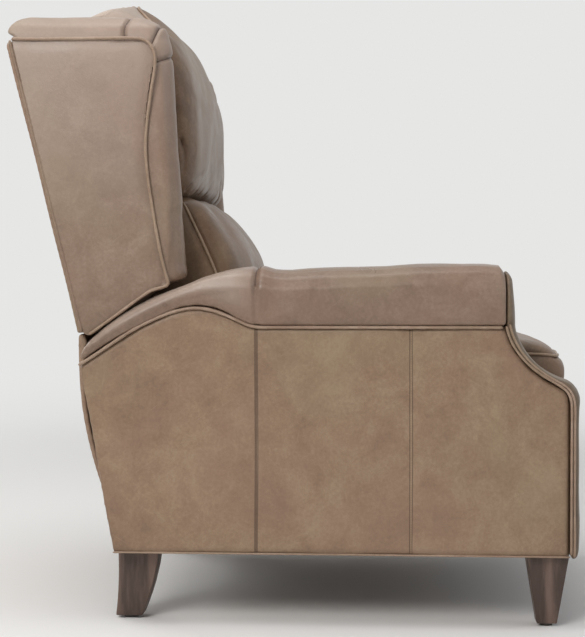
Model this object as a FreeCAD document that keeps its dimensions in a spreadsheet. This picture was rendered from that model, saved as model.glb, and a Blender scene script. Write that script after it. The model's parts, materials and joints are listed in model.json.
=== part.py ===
import FreeCAD, Part
import Sketcher
import math
import os
from FreeCAD import Placement, Rotation, Vector

# Pushback recliner with wings and high legs, in millimetres.
# The origin lies on the floor below the middle of the chair.
# +Z is up, the chair faces -Y, and the sitter's right is -X.
# Every driving dimension is a cell of the sheet, and the pieces are bound to the cells.

SIZES = {
    # whole chair
    "HalfWidth": 390.0,            # outer face of a side panel
    "ArmInner": 268.0,             # inner face of an arm
    "BaseBottom": 122.0,           # underside of the box that the legs carry
    "PanelThick": 22.0,            # outer side panel, board with its padding
    "InnerThick": 14.0,            # inner arm panel
    # outline of the arm, seen from the side
    "FrontEdge": -470.0,
    "RearFoot": 302.0,
    "RearKneeY": 337.0,
    "RearKneeZ": 320.0,
    "RearTopY": 360.0,
    "RearTopZ": 446.0,
    "BandZ": 511.0,                # level seam under the arm's roll
    "ScoopTopY": -362.0,
    "ScoopEndY": -454.0,
    "ScoopEndZ": 409.0,
    "ScoopRound": 146.0,
    "CornerZ": 386.0,
    "HumpStartY": 56.0,
    "HumpRiseY": 95.0,
    "HumpRiseZ": 526.0,
    "HumpFallY": 215.0,
    "HumpFallZ": 529.0,
    # top of the arm's roll
    "RollTopZ": 614.0,
    "RollBackY": 67.0,
    "RollBackZ": 607.0,
    "RollKneeY": 172.0,
    "RollKneeZ": 581.0,
    "RollTailY": 336.0,
    "RollTailZ": 485.0,
    "RollProud": 8.0,              # how far the roll stands out past the side panel
    "RollInset": 24.0,             # how much the roll falls away at its two sides
    # padded facing at the front of each arm
    "FacingThick": 17.0,
    "FacingCrown": 9.0,
    "FacingTopZ": 606.0,
    # arm frame of wood
    "PostDeep": 32.0,
    "RailHigh": 42.0,
    "HeelHigh": 24.0,              # rear end of the bottom rail, above the rear leg
    "RearPostY": 225.0,
    "RearPostDeep": 25.0,
    "TopRailThick": 26.0,
    # rails across the base
    "FrontCrossY": -330.0,
    "RearCrossY": 225.0,
    "CrossThick": 25.0,
    "CrossHigh": 62.0,
    # legs
    "GlideThick": 5.0,
    "GlideRound": 11.0,
    "FrontLegX": 340.0,
    "FrontLegY": -434.5,
    "FrontLegTop": 70.0,
    "FrontLegFoot": 34.0,
    "RearLegX": 318.0,
    "RearLegTopY": 266.0,
    "RearLegFootY": 284.0,
    "RearLegTop": 70.0,
    "RearLegMid": 62.0,
    "RearLegFoot": 46.0,
    # pivots, as distances from the origin
    "SeatPivotY": 60.0,
    "SeatPivotZ": 215.0,
    "BackPivotY": 215.0,
    "BackPivotZ": 330.0,
    "FootPivotY": -396.0,
    "FootPivotZ": 322.0,
    "DrivePivotY": -190.0,
    "DrivePivotZ": 290.0,
    "PinRound": 4.5,
    "PinClear": 0.08,
    "HeadRound": 8.0,
    "HeadThick": 2.5,
    "OpenPivotClear": 1.5,
    # steel plates and links of the mechanism
    "SteelThick": 4.0,
    "DriveRoom": 11.0,             # from a base bracket's inner face to the drive link's
    "PlateRoom": 20.0,             # from a base bracket's inner face to the seat plate's
    "LinkGap": 1.0,
    "LinkRoom": 3.0,               # room for the head of a stud between two links
    "BoardRoom": 2.0,
    "LinkHalf": 12.0,
    "FootReach": 190.0,            # pivot to pivot of the footrest's two links
    "FootArmAngle": 277.0,
    "FootLinkAngle": 107.0,
    "CrankReach": 40.0,
    "CrankAngle": 190.0,
    "DriveReach": 247.2,
    "DriveAngle": 354.2,
    "TubeRound": 9.5,
    "TubeDrop": 35.0,
    # seat
    "SeatSideGap": 6.0,
    "SeatRailLow": 335.0,
    "SeatRailHigh": 375.0,
    "SeatRailFront": -382.0,
    "SeatFrameFront": -424.0,
    "SeatFrameRear": 150.0,
    "SeatRailThick": 25.0,
    "DeckThick": 6.0,
    "SpringWire": 1.9,
    "SpringPitch": 26.0,
    "SpringWidth": 44.0,
    "CushionFront": -481.0,
    "CushionRear": 192.0,
    "CushionTop": 500.0,
    "CushionSideDrop": 14.0,
    "CushionSideDraw": 12.0,
    # back, in a frame that leans with it
    "BackLean": 13.9,
    "BackFootY": 363.0,
    "BackFootZ": 496.0,
    "BackTall": 506.0,
    "BackInset": 6.0,              # how far the back's sides stand in from the arm's
    "OuterThick": 7.0,
    "BackPostThick": 25.0,
    "BackPostDeep": 68.0,
    "BackPostDown": 155.0,
    "BackPostShort": 6.0,          # posts end below the top of the outside back
    "BackRailHigh": 60.0,
    "WebThick": 3.0,
    "WebHigh": 48.0,
    "WebPitch": 92.0,
    "SkirtSideGap": 6.0,
    "SkirtThick": 9.0,
    # wings
    "WingPanelThick": 4.0,
    "WingInner": 266.0,
    "WingSeamZ": 995.0,
    "NoseRound": 37.2,             # round of the front roll of a wing that has no width
    # back cushions
    "PillowSideGap": 4.0,
    "PillowDraw": 46.0,
    "PillowSplitZ": 737.0,
    "LumbarLowZ": 496.0,
    "LumbarFrontY": 82.0,
    "HeadFrontY": 174.0,
    "HeadDraw": 28.0,              # how far the headrest's front draws back at its sides
    "HeadDrop": 6.0,               # head cushion below the top of the crest
    "HeadSideFall": 100.0,
    "CrestRise": 124.8,            # crest above the top of the outside back
    "CrestDeep": 184.0,            # its seam with the head cushion, ahead of the outside back
    "CrestFall": 76.0,
    # footrest
    "BoardSideGap": 10.0,
    "BoardLow": 134.0,
    "BoardTop": 372.0,
    "BoardBackY": -440.0,
    "BoardThick": 15.0,
    "PadThick": 22.0,
    "NotchGap": 0.5,
    "NotchHalf": 20.0,
    # small gap between soft pieces and their neighbours
    "SoftGap": 0.4,
}

# Places and sizes that follow from the sheet: faces of the mechanism, which lie side by side
# inward from the arm, and half widths between the arms and the wings.
WORKED_OUT = {
    "BracketX": lambda: size("ArmInner") - size("SteelThick"),
    "DriveLinkX": lambda: size("BracketX") - size("DriveRoom"),
    "SeatPlateX": lambda: size("BracketX") - size("PlateRoom"),
    "FootArmX": lambda: size("SeatPlateX") - size("SteelThick") - size("LinkGap"),
    "FootLinkX": lambda: size("FootArmX") - size("SteelThick") - size("LinkRoom"),
    "BoardBracketX": lambda: size("FootLinkX") - size("SteelThick") - size("BoardRoom"),
    "NotchX": lambda: size("BoardBracketX") + size("SteelThick") + size("NotchGap"),
    "SeatRailX": lambda: size("SeatPlateX") - size("SeatRailThick"),
    "SeatHalf": lambda: size("ArmInner") - size("SeatSideGap"),
    "BoardHalf": lambda: size("ArmInner") - size("BoardSideGap"),
    "BackHalf": lambda: size("HalfWidth") - size("BackInset"),
    "BackPostX": lambda: size("FootArmX") - size("BackPostThick"),
    "PillowHalf": lambda: size("WingInner") - size("PillowSideGap"),
    "PanelInner": lambda: size("HalfWidth") - size("PanelThick"),
    "SkirtHalf": lambda: size("PanelInner") - size("SkirtSideGap"),
    "BackPostUp": lambda: size("BackTall") - size("BackPostShort"),
    "CrestTopZ": lambda: lean_point(size("BackTall"), as_size(0.0))[1] + size("CrestRise"),
    "CrestSeamY": lambda: lean_point(size("BackTall"), as_size(0.0))[0] - size("CrestDeep"),
    "HeadTopZ": lambda: size("CrestTopZ") - size("HeadDrop"),
}

os.makedirs("parts", exist_ok=True)
doc = FreeCAD.newDocument("recliner")
sheet = doc.addObject("Spreadsheet::Sheet", "Sheet")


class Size:
    """A length with its number and the words that bind it to the sheet."""

    def __init__(self, value, text):
        self.value = float(value)
        self.text = text

    def __add__(self, other):
        other = as_size(other)
        return Size(self.value + other.value, "(%s + %s)" % (self.text, other.text))

    def __sub__(self, other):
        other = as_size(other)
        return Size(self.value - other.value, "(%s - %s)" % (self.text, other.text))

    def __mul__(self, other):
        other = as_size(other)
        return Size(self.value * other.value, "(%s * %s)" % (self.text, other.text))

    def __truediv__(self, other):
        other = as_size(other)
        return Size(self.value / other.value, "(%s / %s)" % (self.text, other.text))

    def __neg__(self):
        return Size(-self.value, "(-1 * %s)" % self.text)

    def __radd__(self, other):
        return as_size(other) + self

    def __rsub__(self, other):
        return as_size(other) - self

    def __rmul__(self, other):
        return as_size(other) * self


def as_size(value):
    if isinstance(value, Size):
        return value
    return Size(value, "(%.6f)" % value)


def fill_sheet():
    for row, (name, value) in enumerate(SIZES.items(), start=1):
        sheet.set("A%d" % row, name)
        sheet.set("B%d" % row, "%.6g" % value)
        sheet.setAlias("B%d" % row, name)
    doc.recompute()


def size(name):
    if name in WORKED_OUT:
        return WORKED_OUT[name]()
    return Size(SIZES[name], "Sheet." + name)


def sine(angle):
    return Size(math.sin(math.radians(angle.value)), "sin(%s)" % angle.text)


def cosine(angle):
    return Size(math.cos(math.radians(angle.value)), "cos(%s)" % angle.text)


def bind(item, path, length):
    item.setExpression(path, as_size(length).text)


# Sketches, pads and lofts

def new_body(label):
    body = doc.addObject("PartDesign::Body", label)
    body.Label = label
    return body


def origin_plane(body, role):
    for feature in body.Origin.OriginFeatures:
        if feature.Role == role:
            return feature
    raise ValueError(role)


def new_sketch(body, name, role, offset):
    sketch = body.newObject("Sketcher::SketchObject", name)
    sketch.AttachmentSupport = [(origin_plane(body, role), "")]
    sketch.MapMode = "FlatFace"
    offset = as_size(offset)
    sketch.AttachmentOffset = Placement(Vector(0, 0, offset.value), Rotation())
    bind(sketch, "AttachmentOffset.Base.z", offset)
    return sketch


def arc_middle(first, last, radius):
    """Middle of the arc from first to last; it bulges to the left if the radius is positive."""
    chord = last - first
    left = Vector(-chord.y, chord.x, 0)
    left.normalize()
    half = chord.Length / 2
    reach = abs(radius)
    rise = reach - math.sqrt(max(reach * reach - half * half, 0))
    if radius < 0:
        rise = -rise
    return (first + last) * 0.5 + left * rise


def bind_point(sketch, index, place, across, up):
    for kind, length in (("DistanceX", across), ("DistanceY", up)):
        number = sketch.addConstraint(Sketcher.Constraint(kind, -1, 1, index, place, length.value))
        sketch.setExpression("Constraints[%d]" % number, length.text)


def outline(sketch, corners):
    """Closed outline. A corner is (across, up), or (across, up, radius) for an arc that ends there."""
    corners = [tuple(as_size(part) for part in corner) for corner in corners]
    edges = []
    for number, corner in enumerate(corners):
        before = corners[number - 1]
        first = Vector(before[0].value, before[1].value, 0)
        last = Vector(corner[0].value, corner[1].value, 0)
        if len(corner) == 3:
            edge = Part.Arc(first, arc_middle(first, last, corner[2].value), last)
        else:
            edge = Part.LineSegment(first, last)
        index = sketch.addGeometry(edge, False)
        ends = (1, 2)
        if (sketch.getPoint(index, 1) - first).Length > (sketch.getPoint(index, 2) - first).Length:
            ends = (2, 1)
        edges.append((index, ends, corner))
    for number, (index, ends, corner) in enumerate(edges):
        bind_point(sketch, index, ends[1], corner[0], corner[1])
        after, after_ends, _ = edges[(number + 1) % len(edges)]
        sketch.addConstraint(Sketcher.Constraint("Coincident", index, ends[1], after, after_ends[0]))
        if len(corner) == 3:
            radius = corner[2] if corner[2].value > 0 else -corner[2]
            place = sketch.addConstraint(Sketcher.Constraint("Radius", index, radius.value))
            sketch.setExpression("Constraints[%d]" % place, radius.text)


def circle(sketch, across, up, radius):
    across, up, radius = as_size(across), as_size(up), as_size(radius)
    centre = Vector(across.value, up.value, 0)
    index = sketch.addGeometry(Part.Circle(centre, Vector(0, 0, 1), radius.value), False)
    bind_point(sketch, index, 3, across, up)
    place = sketch.addConstraint(Sketcher.Constraint("Radius", index, radius.value))
    sketch.setExpression("Constraints[%d]" % place, radius.text)


def pad(body, name, sketch, length, reverse=False):
    feature = body.newObject("PartDesign::Pad", name)
    feature.Profile = sketch
    feature.Length = as_size(length).value
    bind(feature, "Length", length)
    feature.Reversed = reverse
    sketch.Visibility = False
    return feature


def pocket(body, name, sketch, length, reverse=False):
    feature = body.newObject("PartDesign::Pocket", name)
    feature.Profile = sketch
    feature.Length = as_size(length).value
    bind(feature, "Length", length)
    feature.Reversed = reverse
    return feature


def loft(body, name, sketches, ruled=False):
    feature = body.newObject("PartDesign::AdditiveLoft", name)
    feature.Profile = sketches[0]
    feature.Sections = sketches[1:]
    feature.Ruled = ruled
    feature.Closed = False
    return feature


def plate(label, side, inner, thick, loops, body=None, name="plate"):
    """Flat piece in a plane across the chair; inner is its distance from the middle plane."""
    body = body or new_body(label)
    sketch = new_sketch(body, name + "_sketch", "YZ_Plane", as_size(inner) * side)
    for loop in loops:
        if len(loop) == 3 and not isinstance(loop[0], (tuple, list)):
            circle(sketch, *loop)
        else:
            outline(sketch, loop)
    pad(body, name, sketch, thick, side < 0)
    return body


def stud(body, name, side, start, length, across, up, radius):
    sketch = new_sketch(body, name + "_sketch", "YZ_Plane", as_size(start) * side)
    circle(sketch, across, up, radius)
    pad(body, name, sketch, length, side < 0)


def place(item, x, y, z, angle=None):
    x, y, z = as_size(x), as_size(y), as_size(z)
    turn = as_size(angle) if angle is not None else None
    rotation = Rotation(Vector(1, 0, 0), turn.value if turn else 0)
    item.Placement = Placement(Vector(x.value, y.value, z.value), rotation)
    for letter, length in (("x", x), ("y", y), ("z", z)):
        bind(item, "Placement.Base." + letter, length)
    if turn:
        bind(item, "Placement.Rotation.Angle", turn)


def box(label, x, y, z, long, deep, tall, angle=None):
    item = doc.addObject("Part::Box", label)
    item.Label = label
    for name, length in (("Length", long), ("Width", deep), ("Height", tall)):
        setattr(item, name, as_size(length).value)
        bind(item, name, length)
    place(item, x, y, z, angle)
    return item


def group(label, items):
    item = doc.addObject("Part::Compound", label)
    item.Label = label
    item.Links = items
    return item


SIDES = (("right", -1), ("left", 1))

# Stations across a cushion, as a share of its half width, with how far it has fallen away there.
CROWN = ((-1.0, 1.0), (-0.97, 0.62), (-0.88, 0.3), (-0.55, 0.06), (0.0, 0.0),
         (0.55, 0.06), (0.88, 0.3), (0.97, 0.62), (1.0, 1.0))


# Outlines of the arm, shared by every piece of it

def scoop():
    """Front of the arm from the level seam down to the front corner and the bottom."""
    return [
        (size("ScoopTopY"), size("BandZ")),
        (size("ScoopEndY"), size("ScoopEndZ"), size("ScoopRound")),
        (size("FrontEdge"), size("CornerZ"), -26.0),
        (size("FrontEdge"), size("BaseBottom")),
    ]


def seam_line():
    """Seam under the arm's roll, from the rear top corner forward to the level stretch."""
    return [
        (size("RearTopY"), size("RearTopZ")),
        (size("HumpFallY"), size("HumpFallZ"), -611.0),
        (size("HumpRiseY"), size("HumpRiseZ"), -112.0),
        (size("HumpStartY"), size("BandZ"), 90.0),
    ]


def side_panels():
    for name, side in SIDES:
        loop = seam_line() + scoop() + [
            (size("RearFoot"), size("BaseBottom")),
            (size("RearKneeY"), size("RearKneeZ")),
        ]
        thick = size("PanelThick")
        plate("side_panel_" + name, side, size("PanelInner"), thick, [loop])


def inner_arm_panels():
    for name, side in SIDES:
        rear = size("RearPostY") + size("RearPostDeep")
        loop = [
            (rear, size("BaseBottom")),
            (rear, size("HumpFallZ") - 24.0),
            (size("HumpFallY"), size("HumpFallZ")),
            (size("HumpRiseY"), size("HumpRiseZ"), -112.0),
            (size("HumpStartY"), size("BandZ"), 90.0),
            (size("ScoopTopY"), size("BandZ")),
            (size("ScoopEndY"), size("ScoopEndZ"), size("ScoopRound")),
            (size("FrontEdge"), size("CornerZ"), -26.0),
            (size("FrontEdge"), size("BaseBottom")),
        ]
        plate("inner_arm_panel_" + name, side, size("ArmInner"), size("InnerThick"), [loop])


def arm_frames():
    """Each arm's wooden frame: shaped front stump, rear post, bottom rail and two top rails."""
    for name, side in SIDES:
        inner = size("ArmInner") + size("InnerThick")
        width = size("PanelInner") - inner
        deep = size("PostDeep")
        low = size("BaseBottom")
        front = size("FrontEdge")
        stump = [
            (front + deep, low),
            (front + deep, size("CornerZ") - 12.0),
            (size("ScoopEndY") + 26.0, size("ScoopEndZ") - 22.0),
            (size("ScoopTopY") + 12.0, size("BandZ") - 60.0, -120.0),
            (size("ScoopTopY") + deep, size("BandZ")),
            (size("ScoopTopY"), size("BandZ")),
            (size("ScoopEndY"), size("ScoopEndZ"), size("ScoopRound")),
            (front, size("CornerZ"), -26.0),
            (front, low),
        ]
        post_top = size("RearTopZ") + 28.0
        rear = size("RearPostY")
        rear_post = [
            (rear, low + size("RailHigh")),
            (rear + size("RearPostDeep"), low + size("RailHigh")),
            (rear + size("RearPostDeep"), post_top - 10.0),
            (rear, post_top + 6.0),
        ]
        heel = size("RearFoot") - 4.0
        bottom = [
            (front + deep, low),
            (heel, low),
            (heel, low + size("HeelHigh")),
            (rear + size("RearPostDeep"), low + size("HeelHigh")),
            (rear + size("RearPostDeep"), low + size("RailHigh")),
            (front + deep, low + size("RailHigh")),
        ]
        top = size("BandZ")
        thick = size("TopRailThick")
        top_rail = [
            (size("ScoopTopY") + deep, top - thick),
            (size("HumpStartY"), top - thick),
            (rear, post_top - thick),
            (rear, post_top + 6.0),
            (size("HumpStartY") + 10.0, top),
            (size("ScoopTopY") + deep, top),
        ]
        pieces = []
        loops = (("stump", stump), ("rear_post", rear_post), ("bottom_rail", bottom), ("top_rail", top_rail))
        for part, loop in loops:
            pieces.append(plate("arm_%s_%s" % (part, name), side, inner, width, [loop]))
        group("arm_frame_" + name, pieces)


def roll_section(body, name, side, distance, drop, draw):
    """Side view of the arm's roll at one distance from the middle, lower and shorter by the insets."""
    sketch = new_sketch(body, name, "YZ_Plane", as_size(distance) * side)
    gap = size("SoftGap")
    front = size("ScoopTopY") + gap
    outline(sketch, [
        (front, size("BandZ") + gap),
        (size("HumpStartY"), size("BandZ") + gap),
        (size("HumpRiseY"), size("HumpRiseZ") + gap, -90.0),
        (size("HumpFallY"), size("HumpFallZ") + gap, 112.0),
        (size("RearTopY") - draw * 0.4, size("RearTopZ") + gap + draw * 0.3, 611.0),
        (size("RearTopY") - 6.0 - draw * 0.6, size("RearTopZ") + 20.0 + draw * 0.1, -30.0),
        (size("RollTailY") - draw * 0.7, size("RollTailZ") - drop * 0.3, -70.0),
        (size("RollKneeY") - draw * 0.5, size("RollKneeZ") - drop * 0.55, -900.0),
        (size("RollBackY"), size("RollBackZ") - drop, -246.0),
        (size("ScoopTopY") + 58.0, size("RollTopZ") - drop, -3500.0),
        (front, size("RollTopZ") - 12.0 - drop, -150.0),
    ])
    return sketch


def arm_rolls():
    """Padded roll along the top of each arm, rounded over its inner and outer edges."""
    for name, side in SIDES:
        body = new_body("arm_roll_" + name)
        inner = size("ArmInner")
        outer = size("HalfWidth") + size("RollProud")
        width = outer - inner
        inset = size("RollInset")
        steps = ((0.0, 1.5, 1.0), (0.05, 0.62, 0.55), (0.18, 0.16, 0.2), (0.5, 0.0, 0.0),
                 (0.82, 0.16, 0.15), (0.95, 0.62, 0.35), (1.0, 1.5, 0.7))
        sketches = []
        for number, (share, drop, draw) in enumerate(steps):
            distance = inner + width * share
            sketches.append(roll_section(body, "section_%d" % number, side, distance,
                                         inset * drop, inset * 0.5 * draw))
        loft(body, "roll", sketches, ruled=True)
        notch = new_sketch(body, "notch_sketch", "YZ_Plane", inner * side)
        reach = size("BackFootY") - size("SkirtThick") - 20.0
        outline(notch, [
            (reach, size("BaseBottom")),
            (reach + 80.0, size("BaseBottom")),
            (reach + 80.0, size("RollTopZ") + 20.0),
            (reach, size("RollTopZ") + 20.0),
        ])
        pocket(body, "notch", notch, size("PanelInner") - inner, side > 0)


def arm_facings():
    """Padded cover on the front of each arm. It follows the scoop and is crowned across its width."""
    for name, side in SIDES:
        body = new_body("arm_facing_" + name)
        inner = size("ArmInner")
        width = size("HalfWidth") + 2.0 - inner
        sketches = []
        stations = ((0.0, -1.0, 1.5), (0.04, -0.5, 0.7), (0.16, -0.12, 0.16), (0.5, 0.0, 0.0),
                    (0.84, -0.12, 0.16), (0.96, -0.5, 0.7), (1.0, -1.0, 1.5))
        for number, (share, crown, drop) in enumerate(stations):
            top = size("FacingTopZ") - size("RollInset") * drop
            sketch = new_sketch(body, "section_%d" % number, "YZ_Plane", (inner + width * share) * side)
            thick = size("FacingThick") + size("FacingCrown") * crown
            gap = size("SoftGap")
            outline(sketch, [
                (size("FrontEdge") - gap, size("BaseBottom")),
                (size("FrontEdge") - gap, size("CornerZ")),
                (size("ScoopEndY") - gap, size("ScoopEndZ") + gap, 26.0),
                (size("ScoopTopY") - gap, size("BandZ") + gap, -size("ScoopRound")),
                (size("ScoopTopY") - gap, top),
                (size("ScoopTopY") - 4.0 - thick * 0.45, top - 12.0, -22.0),
                (size("ScoopTopY") - thick, size("BandZ") - 4.0, -700.0),
                (
                    size("ScoopEndY") - thick * 0.95,
                    size("ScoopEndZ") + thick * 0.55,
                    size("ScoopRound") - thick,
                ),
                (size("FrontEdge") - thick, size("CornerZ") - 10.0, -40.0),
                (size("FrontEdge") - thick, size("BaseBottom") + 14.0),
                (size("FrontEdge") - thick * 0.55, size("BaseBottom") - 4.0, -20.0),
            ])
            sketches.append(sketch)
        loft(body, "cover", sketches, ruled=True)


def cross_rails():
    half = size("ArmInner")
    high = size("CrossHigh")
    thick = size("CrossThick")
    box("front_cross_rail", -half, size("FrontCrossY"), size("BaseBottom"), half * 2, thick, high)
    box("rear_cross_rail", -half, size("RearCrossY"), size("BaseBottom"), half * 2, thick, high)


def leg_section(body, name, level, centre_x, centre_y, half_x, half_y):
    sketch = new_sketch(body, name, "XY_Plane", level)
    outline(sketch, [
        (centre_x - half_x, centre_y - half_y),
        (centre_x + half_x, centre_y - half_y),
        (centre_x + half_x, centre_y + half_y),
        (centre_x - half_x, centre_y + half_y),
    ])
    return sketch


def legs():
    """Square tapered front legs and curved rear legs, with a glide under each."""
    for name, side in SIDES:
        body = new_body("front_leg_" + name)
        levels = (
            (size("BaseBottom"), size("FrontLegTop") / 2),
            (size("GlideThick"), size("FrontLegFoot") / 2),
        )
        sketches = []
        for number, (level, half) in enumerate(levels):
            sketches.append(leg_section(body, "section_%d" % number, level, size("FrontLegX") * side,
                                        size("FrontLegY"), half, half))
        loft(body, "leg", sketches, ruled=True)
        body = new_body("rear_leg_" + name)
        tall = size("BaseBottom") - size("GlideThick")
        levels = (
            (size("BaseBottom"), size("RearLegTopY"), size("RearLegTop") / 2),
            (size("GlideThick") + tall * 0.58, size("RearLegTopY") + 4.0, size("RearLegMid") / 2),
            (size("GlideThick"), size("RearLegFootY"), size("RearLegFoot") / 2),
        )
        sketches = []
        for number, (level, centre, half) in enumerate(levels):
            sketches.append(leg_section(body, "section_%d" % number, level, size("RearLegX") * side,
                                        centre, half * 0.86, half))
        loft(body, "leg", sketches)
        for part, x, y in (("front", size("FrontLegX"), size("FrontLegY")),
                           ("rear", size("RearLegX"), size("RearLegFootY"))):
            label = "%s_glide_%s" % (part, name)
            glide = doc.addObject("Part::Cylinder", label)
            glide.Label = label
            glide.Radius = SIZES["GlideRound"]
            glide.Height = SIZES["GlideThick"]
            bind(glide, "Radius", size("GlideRound"))
            bind(glide, "Height", size("GlideThick"))
            place(glide, x * side, y, 0.0)


# Mechanism

def swing(start, reach, angle):
    """Far end of a link that starts at a pivot and lies at an angle above the +Y direction."""
    return start[0] + reach * cosine(angle), start[1] + reach * sine(angle)


def foot_pivot():
    return size("FootPivotY"), size("FootPivotZ")


def elbow_pivot():
    return swing(foot_pivot(), size("FootReach"), size("FootArmAngle"))


def board_pivot():
    return swing(elbow_pivot(), size("FootReach"), size("FootLinkAngle"))


def base_brackets():
    """Steel plate on each inner arm panel, with the studs for the seat plate and the drive link."""
    for name, side in SIDES:
        y1, z1 = size("SeatPivotY"), size("SeatPivotZ")
        y2, z2 = size("DrivePivotY"), size("DrivePivotZ")
        loop = [
            (y2 - 22.0, z1 - 30.0),
            (y1 + 26.0, z1 - 30.0),
            (y1 + 26.0, z1 + 20.0),
            (y1 - 60.0, z2 - 10.0),
            (y2 + 40.0, z2 + 20.0),
            (y2 - 22.0, z2 + 20.0),
        ]
        body = plate("base_bracket_" + name, side, size("BracketX"), size("SteelThick"), [loop])
        inner_face = size("SeatPlateX") - 1.0
        radius = size("PinRound")
        stud(body, "seat_stud", side, inner_face, size("BracketX") - inner_face + 1.0, y1, z1, radius)
        head = size("HeadThick")
        stud(body, "seat_stud_head", side, inner_face - head, head, y1, z1, size("HeadRound"))
        link_face = size("DriveLinkX") - 0.5
        stud(body, "drive_stud", side, link_face, size("BracketX") - link_face + 1.0, y2, z2, radius)
        stud(body, "drive_stud_head", side, link_face - 2.0, 2.0, y2, z2, size("HeadRound"))


def seat_plates():
    """Steel plate on each side of the seat frame, which carries the seat, the back and the footrest."""
    hole = size("PinRound") + size("PinClear")
    for name, side in SIDES:
        y1, z1 = size("SeatPivotY"), size("SeatPivotZ")
        y2, z2 = size("BackPivotY"), size("BackPivotZ")
        y3, z3 = size("FootPivotY"), size("FootPivotZ")
        loop = [
            (y3 - 14.0, z3 - 4.0),
            (y3 + 4.0, z3 - 15.0, -18.0),
            (y1 - 70.0, z3 - 15.0),
            (y1 - 17.0, z1 + 4.0),
            (y1 + 15.0, z1 - 8.0, -17.5),
            (y2 + 6.0, z2 - 15.0),
            (y2 + 14.0, z2 + 8.0, -17.0),
            (size("SeatFrameRear"), size("SeatRailHigh") - 4.0),
            (size("SeatRailFront"), size("SeatRailHigh") - 4.0),
        ]
        loops = [loop, (y1, z1, hole)]
        body = plate("seat_plate_" + name, side, size("SeatPlateX"), size("SteelThick"), loops)
        start = size("FootArmX") - 0.5
        for part, y, z in (("foot", y3, z3), ("back", y2, z2)):
            stud(body, part + "_stud", side, start, size("SeatPlateX") - start + 1.0, y, z, size("PinRound"))
            head = size("HeadThick")
            stud(body, part + "_stud_head", side, start - head, head, y, z, size("HeadRound"))


def bar(label, side, inner, long, holes):
    """Link with rounded ends along its own Y axis, which starts at its first pivot."""
    half = size("LinkHalf")
    body = new_body(label)
    sketch = new_sketch(body, "bar_sketch", "YZ_Plane", as_size(inner) * side)
    outline(sketch, [
        (0.0, half),
        (-half, 0.0, -half),
        (0.0, -half, -half),
        (long, -half),
        (long + half, 0.0, -half),
        (long, half, -half),
    ])
    for across, radius in holes:
        circle(sketch, across, 0.0, radius)
    pad(body, "bar", sketch, size("SteelThick"), side < 0)
    return body


def footrest_links():
    """Two links on each side that fold like an elbow, a tube between the sides, and the drive links."""
    hole = size("PinRound") + size("PinClear")
    reach = size("FootReach")
    steel = size("SteelThick")
    pin = size("PinRound")
    for name, side in SIDES:
        body = bar("footrest_arm_" + name, side, size("FootArmX"), reach, [(0.0, hole)])
        crank = size("CrankAngle") - size("FootArmAngle")
        tip_y = size("CrankReach") * cosine(crank)
        tip_z = size("CrankReach") * sine(crank)
        half = size("LinkHalf")
        width = half * 0.85
        sketch = new_sketch(body, "crank_sketch", "YZ_Plane", size("FootArmX") * side)
        outline(sketch, [
            (-half * 0.9, half * 0.4),
            (tip_y - width, tip_z),
            (tip_y, tip_z - width, -width),
            (tip_y + width, tip_z, -width),
            (half * 0.9, half * 0.4),
        ])
        pad(body, "crank", sketch, steel, side < 0)
        cut = new_sketch(body, "pivot_hole_sketch", "YZ_Plane", size("FootArmX") * side)
        circle(cut, 0.0, 0.0, hole)
        pocket(body, "pivot_hole", cut, steel, side > 0)
        face = size("FootArmX")
        link_face = size("FootLinkX") - 0.5
        stud(body, "elbow_stud", side, link_face, face - link_face + 1.0, reach, 0.0, pin)
        head = size("HeadThick")
        stud(body, "elbow_stud_head", side, link_face - head, head, reach, 0.0, size("HeadRound"))
        outer = size("DriveLinkX") + steel + 0.5
        stud(body, "crank_stud", side, face + steel - 1.0, outer - face - steel + 1.0, tip_y, tip_z, pin)
        stud(body, "crank_stud_head", side, outer, size("HeadThick"), tip_y, tip_z, size("HeadRound"))
        place(body, 0.0, size("FootPivotY"), size("FootPivotZ"), size("FootArmAngle"))

        body = bar("footrest_link_" + name, side, size("FootLinkX"), reach, [(0.0, hole)])
        board_face = size("BoardBracketX") - 0.5
        stud(body, "board_stud", side, board_face, size("FootLinkX") - board_face + 1.0, reach, 0.0, pin)
        stud(body, "board_stud_head", side, board_face - head, head, reach, 0.0, size("HeadRound"))
        place(body, 0.0, *elbow_pivot(), size("FootLinkAngle"))

        open_hole = pin + size("OpenPivotClear")
        body = bar("drive_link_" + name, side, size("DriveLinkX"), size("DriveReach"),
                   [(0.0, hole), (size("DriveReach"), open_hole)])
        crank_tip = swing(foot_pivot(), size("CrankReach"), size("CrankAngle"))
        place(body, 0.0, *crank_tip, size("DriveAngle"))

    tube = doc.addObject("Part::Cylinder", "footrest_torque_tube")
    tube.Label = "footrest_torque_tube"
    tube.Radius = SIZES["TubeRound"]
    tube.Height = 2 * size("FootArmX").value
    bind(tube, "Radius", size("TubeRound"))
    bind(tube, "Height", size("FootArmX") * 2)
    tube_y, tube_z = swing(foot_pivot(), size("TubeDrop"), size("FootArmAngle"))
    tube.Placement = Placement(Vector(0, 0, 0), Rotation(Vector(0, 1, 0), 90))
    for letter, length in (("x", -size("FootArmX")), ("y", tube_y), ("z", tube_z)):
        bind(tube, "Placement.Base." + letter, length)


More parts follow.
